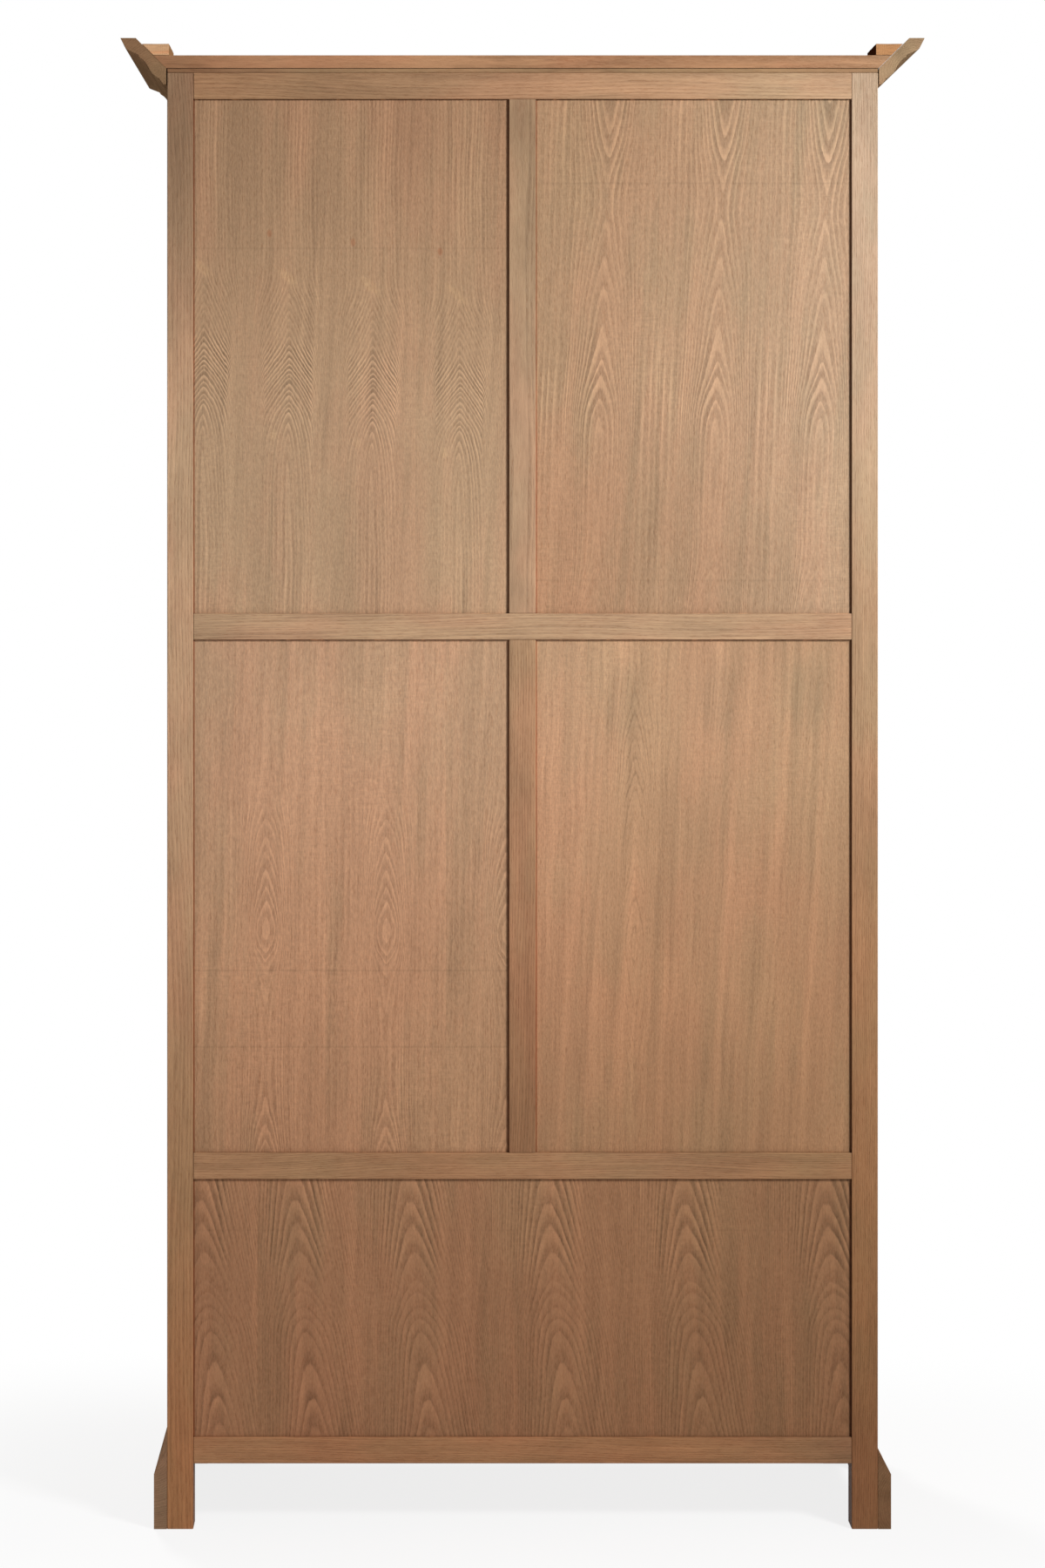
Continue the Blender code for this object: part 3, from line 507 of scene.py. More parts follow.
def veneer(name, opening, across_axis, centres, rises, seed, arch, ragged=0.007, tint=PLAIN,
           shades=None, warmth=0.0, lean=0.0, lift=0.0, lines=(), knots=(), contrast=1.0,
           pale=(0.42, 0.86), plain_edge=0.75, vivid=None, fading=None, later=1.0, ribs=0.0):
    """Leaves of veneer cut from one log and laid side by side, so that their figure repeats.

    With u the distance from the middle of a leaf, the ring number is a slope times the root of u
    squared plus a tip squared, plus a spread times the square of what u has past a flat, plus
    the rise at that height, all over the ring spacing. Where the rise grows upwards the rings
    close in arches, and round its lowest points they close in eyes. Where a fading is given,
    the rise grows between those distances to its greatest value, so that the rings run straight
    further out. Each leaf lies a lift lower than the one before it. Noise in the height of the
    rise makes the arches ragged.
    """
    oak = settings("cabinet_oak")
    finish = new_finish(name)
    places = dict(zip("xyz", finish.place()))
    across, z = places[across_axis], places["z"]
    centre, count = stepped(across, centres)
    (low_u, low_z), (high_u, high_z) = opening
    level = z + count * lift if lift else z
    u = across - centre
    if lean:
        u = u - (z - (low_z + high_z) / 2) * lean
    own = count * 0.11 + seed
    teeth = finish.noise(u * 110, own, level * 12)
    sway = finish.noise(u * 9 + seed, own, level * 6, detail=2)
    aside = abs(u + sway * 0.009)
    slope, tip, flat, spread = arch
    past = (aside - flat).higher(0)
    reach = (aside * aside + tip ** 2) ** 0.5 * slope + past * past * spread
    rise = finish.curve(level + teeth * ragged, rises, 0.0, HEIGHT, MOST_RISE)
    if fading:
        greatest = max(height for place, height in rises)
        rise = rise + (greatest - rise) * finish.smooth(aside, *fading)
    slow = finish.noise(u * 13, own, level * 1.4 + seed, detail=1)
    jag = finish.noise(u * 260, seed, level * 45, detail=3)
    growth = (reach + rise) / oak.leaf_ring_spacing + slow * 1.3 + jag * (ragged * 60)
    growth, ring = grown(finish, growth, seed)
    patch = finish.noise(u * 22 + seed, own, level * 5, detail=1) * 2.8 + 0.95
    uneven = finish.noise(growth * 0.8, seed + 5.0, level * 3, detail=1) * 1.8 + 1
    plainer = 1 - finish.smooth(aside, 0.026, 0.058) * plain_edge
    strength = patch.higher(0.2) * uneven.higher(0.1) * plainer * (oak.ring_contrast * contrast)
    if vivid:
        strength = strength * finish.curve(level, vivid, 0.0, HEIGHT, MOST_VIVID)
    if later < 1:
        strength = strength * (1 - count.lower(1) * (1 - later))
    cloud = finish.noise(across * 7, seed, z * 4)
    mottle = finish.noise(across * 70, seed, z * 380, detail=1)
    layers = {
        "fibre": finish.noise(growth * 2.3, own, level * 12),
        "streak": finish.noise(across * 480 + sway * 3, seed, z * 170, detail=3),
        "band": finish.noise((u + z * 0.045) * 48 + seed, own, level * 1.7, detail=4),
        "cloud": cloud, "mottle": mottle * finish.smooth(cloud, -0.05, 0.15),
    }
    light = 1 + ringed(ring, pale) * strength
    for word, made in layers.items():
        light = light + made * LEAF_LAYERS[word]
    if ribs:
        rib = finish.noise((across + z * 0.05 + sway * 0.02) * 130, seed, z * 2.6, detail=2)
        light = light + rib * (patch.lower(1.6) * ribs)
    light = light + finish.maths("SINE", own * 57) * LEAF_CONTRAST
    for line_z, line_depth in lines:
        light = light - (1 - finish.smooth(abs(z - line_z), *LINE_WIDTHS)) * line_depth
    blotch = finish.noise(across * 8 + seed * 3.7, seed, z * 3.4, detail=3)
    warm = finish.smooth(blotch + layers["band"] * 0.5 + warmth, -0.15, 0.15)
    shade = finish.tinted(cast(finish, stain(finish, z), warm), tint)
    shade = shaded(finish, shade, places, shades)
    for knot_u, knot_z, width, tall, slant, knot_tint in knots:
        off_u = (u - knot_u) / width + teeth * 1.5
        off_z = (level - (u - knot_u) * slant - knot_z) / tall
        shade = finish.marked(shade, 1 - finish.smooth(span(off_u, off_z), 0.5, 1.3), knot_tint)
    pores = pores_of(finish, across, seed, z)
    shade = finish.marked(finish.lit(shade, light), pores * (1.1 - ring), oak.pore_tint)
    # Dust and painted shadow darken three edges of the panel; a red line of stain lies at high X
    gaps = (across - low_u, high_u - across, high_z - z, z - low_z)
    shade = edge_dust_and_shadow(finish, shade, gaps, finish.noise(across * 42, seed, z * 42))
    roughness = oak.roughness - 0.02 + pores * 0.12 + layers["streak"] * 0.1
    return finish.shine(shade, roughness, ring * 0.25 - pores, 0.0001)


def edge_dust_and_shadow(finish, shade, gaps, chipping):
    """Dust and painted shadow on three edges, chipped at low X; a red line of stain at high X."""
    oak = settings("cabinet_oak")
    near = [gap / width for gap, width in zip(gaps, EDGE_MARK_WIDTHS)]
    edge = near[0].lower(near[2]).lower(near[3])
    line = finish.blend(finish.smooth(near[1], 0.2, 1), oak.red_line, PLAIN)
    chip = finish.smooth(chipping, 0.07, 0.13) * finish.smooth(near[0], 0.6, 1.5)
    stained = finish.blend(chip, oak.dust, oak.chips)
    # Dust with painted shadow where the frame's shadow falls, and chips at low X
    dust_shadow_and_chips = finish.blend(finish.smooth(edge, 0.1, 1), stained, PLAIN)
    return finish.tinted(finish.tinted(shade, line), dust_shadow_and_chips)


SAW_MARKS = 2600
RED_STREAK = (1.06, 0.86, 0.78)


def sawn_wood(name, grain, seed, colour, shaded_end):
    """Raw wood off the saw: coarse streaks along the grain, with shallow saw marks across it.

    The end that faces that way along the grain takes a tint of painted shade.
    """
    finish = new_finish(name)
    places = dict(zip("xyz", finish.place()))
    along = places.pop(grain)
    across, deep = places.values()
    streak = finish.noise(across * 260, deep * 260, along * 11 + seed, detail=3)
    band = finish.noise(across * 90, deep * 90, along * 4 + seed)
    marks = finish.maths("SINE", along * SAW_MARKS)
    pores = finish.smooth(finish.noise(across * 900, deep * 900, along * 60), 0.08, 0.2)
    light = 1 + streak * 0.5 + band * 0.45 - pores * 0.16
    shade = finish.marked(colour, finish.smooth(band, -0.02, 0.12), RED_STREAK)
    # Painted shade on the end that faces that way along the grain
    way, end_shade = shaded_end
    facing = dict(zip("xyz", finish.facing()))[grain] * way
    shade = finish.lit(finish.marked(shade, finish.smooth(facing, 0.4, 0.6), end_shade), light)
    height = marks * 0.3 + streak - pores
    return finish.shine(shade, 0.85 + streak * 0.1, height, 0.0002, gloss=0.0)


def bronze(name):
    """Aged bronze: a dark patina, thinner in patches and on what faces forwards."""
    detail = settings("cabinet_detail")
    finish = new_finish(name)
    x, y, z = finish.place()
    facing = finish.facing()
    patches = finish.noise(x * 160, y * 160, z * 160, detail=4)
    fine = finish.noise(x * 900, y * 900, z * 900, detail=2)
    worn = finish.smooth(facing[1] * -0.35 + patches + fine * 0.4, 0.08, 0.42)
    colour = finish.blend(worn, detail.patina_colour, detail.bronze_colour)
    roughness = 0.52 - worn * 0.2 + fine * 0.2
    return finish.shine(colour, roughness, patches * 0.5 + fine, 0.00008, metallic=0.85, gloss=0.5)


# Shapes


def unit(vectors):
    """Each vector divided by its length."""
    return vectors / np.maximum(np.linalg.norm(vectors, axis=-1, keepdims=True), 1e-12)


def grid_faces(rows, columns, closed=False):
    """The four corners of each cell of a grid that closes on itself across its columns."""
    last = rows if closed else rows - 1
    row, column = np.meshgrid(np.arange(last), np.arange(columns), indexing="ij")
    next_row, next_column = (row + 1) % rows, (column + 1) % columns
    corners = (
        row * columns + column, row * columns + next_column,
        next_row * columns + next_column, next_row * columns + column,
    )
    return np.stack(corners, -1).reshape(-1, 4).tolist()


def carried(outline, along, origin, out, up, way):
    """An outline carried along a straight path, as points and faces.

    The point of station i and outline point j is origin + out * outline[i, j, 0]
    + up * outline[i, j, 1] + way * along[i, j]. The first and last stations are capped.
    """
    origin, out, up, way = (np.array(each, float) for each in (origin, out, up, way))
    points = origin + outline[..., :1] * out + outline[..., 1:] * up + along[..., None] * way
    rows, columns = along.shape
    caps = [list(range(columns))[::-1], list(range((rows - 1) * columns, rows * columns))]
    return points.reshape(-1, 3), grid_faces(rows, columns) + caps


def turned(profile, steps, centre, axis):
    """A profile of (radius, height) turned about an axis through the centre, ending on it.

    The point at turn t is centre + axis * height + (cos t * first + sin t * second) * radius,
    where first, second and the axis are square to each other.
    """
    axis = unit(np.array(axis, float))
    first = unit(np.cross(axis, (0.31, 0.52, 0.79)))
    second = np.cross(axis, first)
    turn = np.linspace(0, 2 * math.pi, steps, endpoint=False)[:, None]
    rim = np.cos(turn) * first + np.sin(turn) * second
    profile = np.array(profile, float)[:, None]
    points = np.array(centre, float) + profile[..., 1:] * axis + profile[..., :1] * rim[None]
    return points.reshape(-1, 3), grid_faces(len(profile), steps)


def rounded(corners, radius, steps=5):
    """An outline whose corners are arcs of one radius, each a blend of its two end radii."""
    corners = np.array(corners, float)
    back = unit(np.roll(corners, 1, 0) - corners)
    onward = unit(np.roll(corners, -1, 0) - corners)
    half = np.arccos(np.clip((back * onward).sum(-1, keepdims=True), -1, 1)) / 2
    centre = corners + unit(back + onward) * radius / np.sin(half)
    start = corners + back * radius / np.tan(half) - centre
    end = corners + onward * radius / np.tan(half) - centre
    share = np.linspace(0, 1, steps + 1)[None, :, None]
    arc = centre[:, None] + unit(start[:, None] * (1 - share) + end[:, None] * share) * radius
    return arc.reshape(-1, 2)


def piece(name, forms, body, material, nodes=(), ease=0.0, sharp=30):
    """Makes one finished piece of several (points, faces) forms.

    It is welded, its faces are turned outwards, it rides on its body and it stands for the nodes.
    """
    points, faces, count = [], [], 0
    for form_points, form_faces in forms:
        points.extend(form_points.tolist())
        faces.extend([[index + count for index in face] for face in form_faces])
        count += len(form_points)
    mesh = bpy.data.meshes.new(name)
    mesh.from_pydata(points, [], faces)
    form = bmesh.new()
    form.from_mesh(mesh)
    bmesh.ops.remove_doubles(form, verts=form.verts, dist=WELD)
    bmesh.ops.recalc_face_normals(form, faces=form.faces)
    form.to_mesh(mesh)
    form.free()
    mesh.polygons.foreach_set("use_smooth", [True] * len(mesh.polygons))
    mesh.set_sharp_from_angle(angle=math.radians(sharp))
    mesh.materials.append(material)
    made = bpy.data.objects.new(name, mesh)
    bpy.context.scene.collection.objects.link(made)
    if ease:
        bevel = made.modifiers.new("eased edges", "BEVEL")
        bevel.width = ease
        bevel.segments = 2
        bevel.limit_method = "ANGLE"
        bevel.angle_limit = math.radians(sharp)
        bevel.harden_normals = True
    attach(made, body)
    if nodes:
        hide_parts(*nodes)
    return made


def coat(node, material):
    """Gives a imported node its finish."""
    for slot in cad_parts[node].material_slots:
        slot.material = material


# Painted shade on the inner face of each rear leg, where it faces the other leg
INNER_SIDE_SHADE = (0.34, 0.28, 0.24)
# What each packed member is cut from: grain, seed, tint, X or Z shades, and painted shade on a side
TIMBERS = {
    "rear_leg_left": ("z", 1.0, PLAIN, {"z": (
        (0.10, (0.70, 0.645, 0.555)), (0.33, (0.715, 0.685, 0.58)), (0.90, (0.80, 0.77, 0.685)),
        (1.35, (0.84, 0.874, 0.846)), (1.60, (1.02, 1.08, 1.12)), (2.06, (1.29, 1.50, 1.75)))},
        ("x", 1, INNER_SIDE_SHADE)),
    "rear_leg_right": ("z", 2.3, PLAIN, {"z": (
        (0.05, (1.20, 1.08, 0.91)), (0.35, (1.04, 1.05, 0.965)), (0.85, (0.99, 1.01, 1.01)),
        (1.60, (1.155, 1.17, 1.175)), (2.06, (0.755, 0.712, 0.712)))}, ("x", -1, INNER_SIDE_SHADE)),
    # The top rail is lighter towards -X: a painted highlight where the lamp's glare falls
    "back_top_rail": ("x", 3.1, PLAIN, {"x": (
        (-0.49, (1.20, 1.27, 1.33)), (-0.20, (1.125, 1.10, 1.07)), (0.10, (0.96, 0.87, 0.83)),
        (0.49, (0.94, 0.86, 0.78)))}),
    "back_mid_rail": ("x", 4.2, (0.98, 1.0, 0.986)),
    "back_lower_rail": ("x", 5.4, (0.97, 1.0, 0.965), {"x": (
        (-0.42, (0.92, 0.91, 0.88)), (-0.20, (0.95, 0.96, 0.97)), (0.10, (1.01, 0.99, 0.98)),
        (0.30, (1.08, 1.08, 1.08)), (0.45, (1.03, 1.06, 1.07)))}),
    "back_bottom_rail": ("x", 6.6, (1.10, 1.06, 0.994), {"x": (
        (-0.49, (0.72, 0.78, 0.84)), (-0.40, (0.82, 0.86, 0.87)), (-0.20, (0.93, 0.91, 0.88)),
        (-0.05, PLAIN), (0.49, (1.03, 1.05, 1.06)))}),
    "back_mullion_upper": ("z", 7.3, (0.94, 0.95, 0.955)),
    "back_mullion_middle": ("z", 8.8, PLAIN, {"z": (
        (0.56, (0.74, 0.68, 0.64)), (0.95, (0.82, 0.765, 0.72)),
        (1.32, (0.874, 0.845, 0.79)))}),
    "front_leg_left": ("z", 9.4),
    "front_leg_right": ("z", 10.9),
    "front_top_rail": ("x", 11.2),
    "front_waist_rail": ("x", 12.5),
    "front_bottom_rail": ("x", 13.7),
    "sub_top": ("x", 14.1, (0.80, 0.78, 0.74), {"x": (
        (-0.50, (0.84, 0.82, 0.79)), (-0.36, (1.15, 1.15, 1.10)), (0.36, (1.0, 0.98, 0.95)),
        (0.50, (0.80, 0.67, 0.62)))}),
    "top_board": ("x", 15.6, (1.05, 0.873, 0.787), {"x": (
        (-0.53, (0.90, 1.02, 1.06)), (-0.35, PLAIN), (0.35, PLAIN), (0.52, (0.80, 0.78, 0.76)))}),
    "dust_board": ("x", 16.2),
    "cupboard_floor": ("x", 17.9),
    "fixed_shelf": ("x", 18.4),
    "drawer_front": ("x", 20.7),
    "door_left_hinge_stile": ("z", 21.3),
    "door_left_meeting_stile": ("z", 22.8, (0.97, 0.97, 0.96)),
    "door_left_bottom_rail": ("x", 23.1),
    "door_left_mid_rail": ("x", 24.6, (0.96, 0.95, 0.94)),
    "door_left_top_rail": ("x", 25.5, (1.03, 1.03, 1.02)),
    "door_right_hinge_stile": ("z", 26.4, (1.01, 1.00, 0.98)),
    "door_right_meeting_stile": ("z", 27.2, (1.03, 1.02, 1.00)),
    "door_right_bottom_rail": ("x", 28.6, (0.97, 0.97, 0.96)),
    "door_right_mid_rail": ("x", 29.9),
    "door_right_top_rail": ("x", 30.3, (0.98, 0.98, 0.97)),
}

PIN_KNOT = (0.93, 0.76, 0.70)
PALE_EYE = (1.11, 1.12, 1.09)
GREY_PATCH = (0.90, 0.925, 0.93)

# The back's veneer: middles of the leaves across X, then the rise of their rings by height
BACK_VENEERS = {
    "back_panel_upper_left": dict(
        centres=(-0.118, -0.291, -0.447), seed=3.7, lift=0.003, lean=-0.032, contrast=1.0,
        pale=(0.40, 0.86), arch=(0.50, 0.004, 0.03, 0.0), ragged=0.005, fading=(0.014, 0.062),
        plain_edge=0.4,
        shades={
            "z": (
                (1.45, (0.937, 0.93, 0.92)), (1.89, (1.05, 1.08, 1.10)),
                (2.10, (1.02, 1.05, 1.07))),
            "x": ((-0.45, (1.04, 1.09, 1.14)), (-0.26, PLAIN), (-0.08, (0.97, 0.93, 0.90))),
        },
        rises=(
            (2.135, 0.045), (2.075, 0.0510), (2.03, 0.0570), (1.975, 0.0600), (1.935, 0.0575),
            (1.875, 0.0525), (1.838, 0.0480), (1.781, 0.0435), (1.740, 0.0388), (1.710, 0.0341),
            (1.684, 0.0294), (1.650, 0.0250), (1.60, 0.0238), (1.50, 0.0240), (1.446, 0.0225),
            (1.418, 0.0185), (1.392, 0.0138), (1.372, 0.0091), (1.33, 0.003),
        ),
        vivid=(
            (2.13, 1.0), (2.05, 1.0), (1.98, 0.75), (1.90, 0.65), (1.80, 0.65), (1.76, 1.0),
            (1.66, 1.0), (1.62, 0.55), (1.46, 0.45), (1.43, 0.65), (1.36, 0.65),
        ),
        lines=((2.009, 0.07), (1.416, 0.05)),
    ),
    "back_panel_upper_right": dict(
        centres=(0.477, 0.350, 0.225, 0.095), seed=9.2, warmth=-0.05, lift=0.01365,
        contrast=1.6, pale=(0.3, 0.86), arch=(0.86, 0.002, 0.03, 0.0), ragged=0.004,
        fading=(0.034, 0.066), ribs=0.35,
        shades={"z": (
            (1.45, (1.025, 1.055, 1.06)), (1.85, (1.01, 0.98, 0.965)),
            (2.10, (0.995, 0.94, 0.925)))},
        rises=(
            (2.17, 0.108), (1.93, 0.109), (1.89, 0.108), (1.862, 0.103), (1.850, 0.0985),
            (1.836, 0.0940), (1.823, 0.0890), (1.811, 0.0845), (1.799, 0.0800), (1.785, 0.0750),
            (1.700, 0.0280), (1.66, 0.0110), (1.62, 0.0040), (1.55, 0.0010), (1.36, 0.0),
        ),
        vivid=(
            (2.13, 0.35), (1.93, 0.35), (1.89, 0.25), (1.86, 0.45), (1.80, 0.3), (1.765, 1.0),
            (1.66, 1.0), (1.62, 0.4), (1.36, 0.3),
        ),
        lines=((1.912, 0.06),),
        knots=(
            (0.028, 1.948, 0.004, 0.006, 0.0, PIN_KNOT),
            (0.002, 1.883, 0.017, 0.009, 0.75, PALE_EYE),
            (0.022, 1.647, 0.006, 0.009, 0.0, PALE_EYE),
        ),
    ),
    "back_panel_middle_left": dict(
        centres=(-0.168, -0.312, -0.443), seed=5.9, warmth=0.01, lift=-0.004, contrast=0.6,
        later=0.25, pale=(0.0, 0.35), arch=(0.60, 0.003, 0.03, 0.0), ragged=0.012,
        fading=(0.012, 0.045), ribs=0.45,
        shades={
            "z": (
                (0.62, (0.92, 0.945, 0.92)), (0.95, (0.98, 0.955, 0.93)),
                (1.25, (0.99, 1.0, 0.98))),
            "x": (
                (-0.41, (0.93, 0.95, 0.94)), (-0.29, (0.97, 0.98, 0.98)),
                (-0.18, (1.06, 1.05, 1.04)), (-0.08, (1.04, 1.04, 1.05))),
        },
        rises=(
            (1.33, 0.052), (1.24, 0.0480), (1.205, 0.0435), (1.175, 0.0388), (1.140, 0.0341),
            (1.113, 0.0294), (1.090, 0.0247), (1.048, 0.0200), (1.020, 0.0165), (0.990, 0.0145),
            (0.957, 0.0098), (0.900, 0.0030), (0.870, 0.0010), (0.840, 0.0030), (0.800, 0.0060),
            (0.762, 0.0100), (0.722, 0.0145), (0.65, 0.021), (0.553, 0.030),
        ),
        vivid=(
            (1.32, 0.2), (1.25, 0.5), (1.20, 0.9), (1.08, 1.0), (1.03, 0.6), (0.96, 1.0),
            (0.80, 0.8), (0.70, 0.35), (0.60, 0.5), (0.55, 0.6),
        ),
        knots=(
            (0.038, 0.683, 0.009, 0.034, 0.0, GREY_PATCH),
            (0.020, 1.235, 0.030, 0.060, 0.0, GREY_PATCH),
        ),
    ),
    "back_panel_middle_right": dict(
        centres=(0.384, 0.204, 0.024), seed=12.4, tint=(1.07, 1.08, 1.10), lift=0.003,
        contrast=0.75, pale=(0.3, 0.86), arch=(0.55, 0.004, 0.03, 0.0), fading=(0.012, 0.050),
        ribs=0.25,
        rises=(
            (1.33, 0.040), (1.10, 0.0350), (1.062, 0.0300), (1.040, 0.0250), (1.010, 0.0205),
            (0.984, 0.0160), (0.955, 0.0113), (0.930, 0.0066), (0.912, 0.0030), (0.894, 0.0010),
            (0.876, 0.0035), (0.858, 0.0085), (0.838, 0.0140), (0.800, 0.0190), (0.722, 0.0215),
            (0.640, 0.0200), (0.600, 0.0150), (0.553, 0.0060),
        ),
        vivid=(
            (1.33, 0.15), (1.10, 0.2), (1.06, 0.9), (0.95, 1.0), (0.86, 0.9), (0.82, 0.55),
            (0.70, 0.6), (0.62, 0.9), (0.55, 0.9),
        ),
        lines=((0.833, 0.10), (0.719, 0.09)),
    ),
    "back_panel_lower": dict(
        centres=(0.467, 0.325, 0.153, -0.053, -0.257, -0.468), seed=7.7, tint=(0.87, 0.87, 0.86),
        lean=0.085, contrast=1.3, arch=(0.12, 0.012, 0.0, 7.8), ragged=0.004, pale=(0.0, 0.86),
        plain_edge=0.45, ribs=0.35,
        shades={"x": (
            (-0.42, (0.85, 0.855, 0.83)), (-0.297, (0.915, 0.90, 0.875)),
            (-0.177, (0.95, 0.95, 0.93)), (-0.057, (1.05, 1.03, 1.02)),
            (0.18, (1.09, 1.07, 1.08)), (0.42, (1.14, 1.12, 1.13)))},
        rises=(
            (0.56, 0.067), (0.513, 0.062), (0.465, 0.0573), (0.422, 0.0526), (0.387, 0.0479),
            (0.359, 0.0432), (0.340, 0.0385), (0.320, 0.0338), (0.3036, 0.0291), (0.272, 0.0244),
            (0.218, 0.0197), (0.167, 0.0150), (0.11, 0.0103),
        ),
        vivid=((0.56, 1.1), (0.41, 1.1), (0.375, 0.45), (0.32, 0.45), (0.295, 0.8), (0.11, 0.85)),
        lines=((0.445, 0.04),),
    ),
}

# The other panels: how far the leaves' middles lie from the panel's own middle, and their rises
UPPER_DOOR = dict(
    offsets=(-0.092, 0.092), contrast=0.9, arch=(0.50, 0.004, 0.03, 0.0), ragged=0.006,
    fading=(0.020, 0.070), plain_edge=0.5, ribs=0.2, lift=0.006,
)
LOWER_DOOR = dict(
    offsets=(-0.092, 0.092), contrast=1.0, arch=(0.45, 0.006, 0.03, 0.0), ragged=0.006,
    fading=(0.020, 0.070), plain_edge=0.5, ribs=0.25, lift=0.008,
)
SIDE = dict(
    offsets=(-0.118, 0.0, 0.118), contrast=0.8, arch=(0.50, 0.005, 0.03, 0.0), ragged=0.007,
    fading=(0.016, 0.056), plain_edge=0.55, ribs=0.3,
)
OTHER_VENEERS = {
    "door_left_panel_upper": dict(UPPER_DOOR, seed=21.5, rises=(
        (2.2, 0.050), (2.03, 0.052), (1.94, 0.047), (1.84, 0.037), (1.76, 0.025), (1.69, 0.013),
        (1.60, 0.008), (1.45, 0.006), (1.36, 0.0))),
    "door_right_panel_upper": dict(UPPER_DOOR, seed=33.1, rises=(
        (2.2, 0.047), (2.07, 0.051), (1.95, 0.049), (1.87, 0.040), (1.79, 0.027), (1.70, 0.014),
        (1.62, 0.009), (1.47, 0.007), (1.36, 0.0))),
    "door_left_panel_lower": dict(LOWER_DOOR, seed=44.9, rises=(
        (1.34, 0.075), (1.26, 0.064), (1.17, 0.052), (1.07, 0.036), (0.99, 0.022), (0.90, 0.013),
        (0.76, 0.009), (0.62, 0.0))),
    "door_right_panel_lower": dict(LOWER_DOOR, seed=57.3, rises=(
        (1.34, 0.071), (1.24, 0.062), (1.15, 0.048), (1.04, 0.031), (0.95, 0.018), (0.86, 0.012),
        (0.74, 0.008), (0.62, 0.0))),
    "side_panel_left": dict(SIDE, seed=63.8, lift=0.012, rises=(
        (2.2, 0.075), (2.0, 0.083), (1.8, 0.071), (1.64, 0.052), (1.5, 0.040), (1.2, 0.036),
        (0.95, 0.028), (0.7, 0.013), (0.5, 0.006), (0.1, 0.0))),
    "side_panel_right": dict(SIDE, seed=71.2, lift=-0.010, rises=(
        (2.2, 0.083), (2.05, 0.090), (1.85, 0.080), (1.7, 0.061), (1.55, 0.045), (1.25, 0.040),
        (1.0, 0.030), (0.75, 0.016), (0.5, 0.008), (0.1, 0.0))),
}
PANEL_TONGUE = 0.010


# Where the lamps stand, and the height of what they face
REAR_LAMP_PLACE = (-2.45, 3.2, 3.0)
FRONT_LAMP_PLACE = (1.7, -4.3, 3.0)
AIM_HEIGHT = 1.15
SENSOR_WIDTH = 36
FLOOR_RADIUS = 14
# How grey the floor looks in full shadow near the cabinet, and how far the shadow reaches
SHADOW_DEPTH = 0.17
SHADOW_REACH = (0.05, 0.75)


class CABINET_OT_stage(bpy.types.Operator):
    """Add the camera, the lamps, the white surroundings and the floor."""

    bl_idname = "cabinet.stage"
    bl_label = "Stage"

    def execute(self, context):
        stage = settings("cabinet_stage")
        add_camera(context.scene, stage)
        back, front = (Vector((0, y, AIM_HEIGHT)) for y in (REAR_Y, CAD_BOX[0].y))
        add_lamp("rear_lamp", stage.rear_lamp, stage.lamp_size, REAR_LAMP_PLACE, back)
        add_lamp("front_lamp", stage.front_lamp, stage.lamp_size, FRONT_LAMP_PLACE, front)
        surround_with_white(context.scene, stage)
        add_floor(context.scene, stage)
        context.scene.view_settings.view_transform = "Standard"
        return {"FINISHED"}


def add_camera(scene, stage):
    """A level camera behind the cabinet, shifted so that upright edges stay upright."""
    camera = bpy.data.objects.new("camera", bpy.data.cameras.new("camera"))
    scene.collection.objects.link(camera)
    scene.camera = camera
    camera.location = (stage.camera_x, REAR_Y + stage.camera_distance, stage.camera_height)
    camera.rotation_euler = (math.pi / 2, 0, math.pi)
    lens = camera.data
    lens.sensor_width = SENSOR_WIDTH
    lens.lens = lens.sensor_width * stage.camera_distance / stage.view_height
    lens.shift_x = stage.camera_x / stage.view_height
    middle_z = stage.view_bottom + stage.view_height / 2
    lens.shift_y = (middle_z - stage.camera_height) / stage.view_height
    lens.clip_end = 100


def add_lamp(name, power, size, location, target):
    """A square soft lamp that faces a point."""
    lamp = bpy.data.lights.new(name, "AREA")
    lamp.energy = power
    lamp.size = size
    made = bpy.data.objects.new(name, lamp)
    bpy.context.scene.collection.objects.link(made)
    made.location = location
    made.rotation_euler = (target - Vector(location)).to_track_quat("-Z", "Y").to_euler()


def seen(finish):
    """1 for rays from the camera and for those that a gloss or glass sends on, else 0."""
    node = finish.node("ShaderNodeLightPath").socket.node
    camera, glossy, through = (
        Wire(finish, node.outputs[name])
        for name in ("Is Camera Ray", "Is Glossy Ray", "Is Transmission Ray")
    )
    return camera.higher(glossy).higher(through)


def surround_with_white(scene, stage):
    """A world that looks white and lights the cabinet softly from all round."""
    world = bpy.data.worlds.new("studio")
    scene.world = world
    finish = Finish(world)
    soft, white = (
        finish.node("ShaderNodeBackground", {}, {"Color": (1, 1, 1, 1), "Strength": strength})
        for strength in (stage.fill, 1.0)
    )
    mixed = finish.node("ShaderNodeMixShader", {}, {0: seen(finish), 1: soft, 2: white})
    finish.end(mixed, "ShaderNodeOutputWorld")


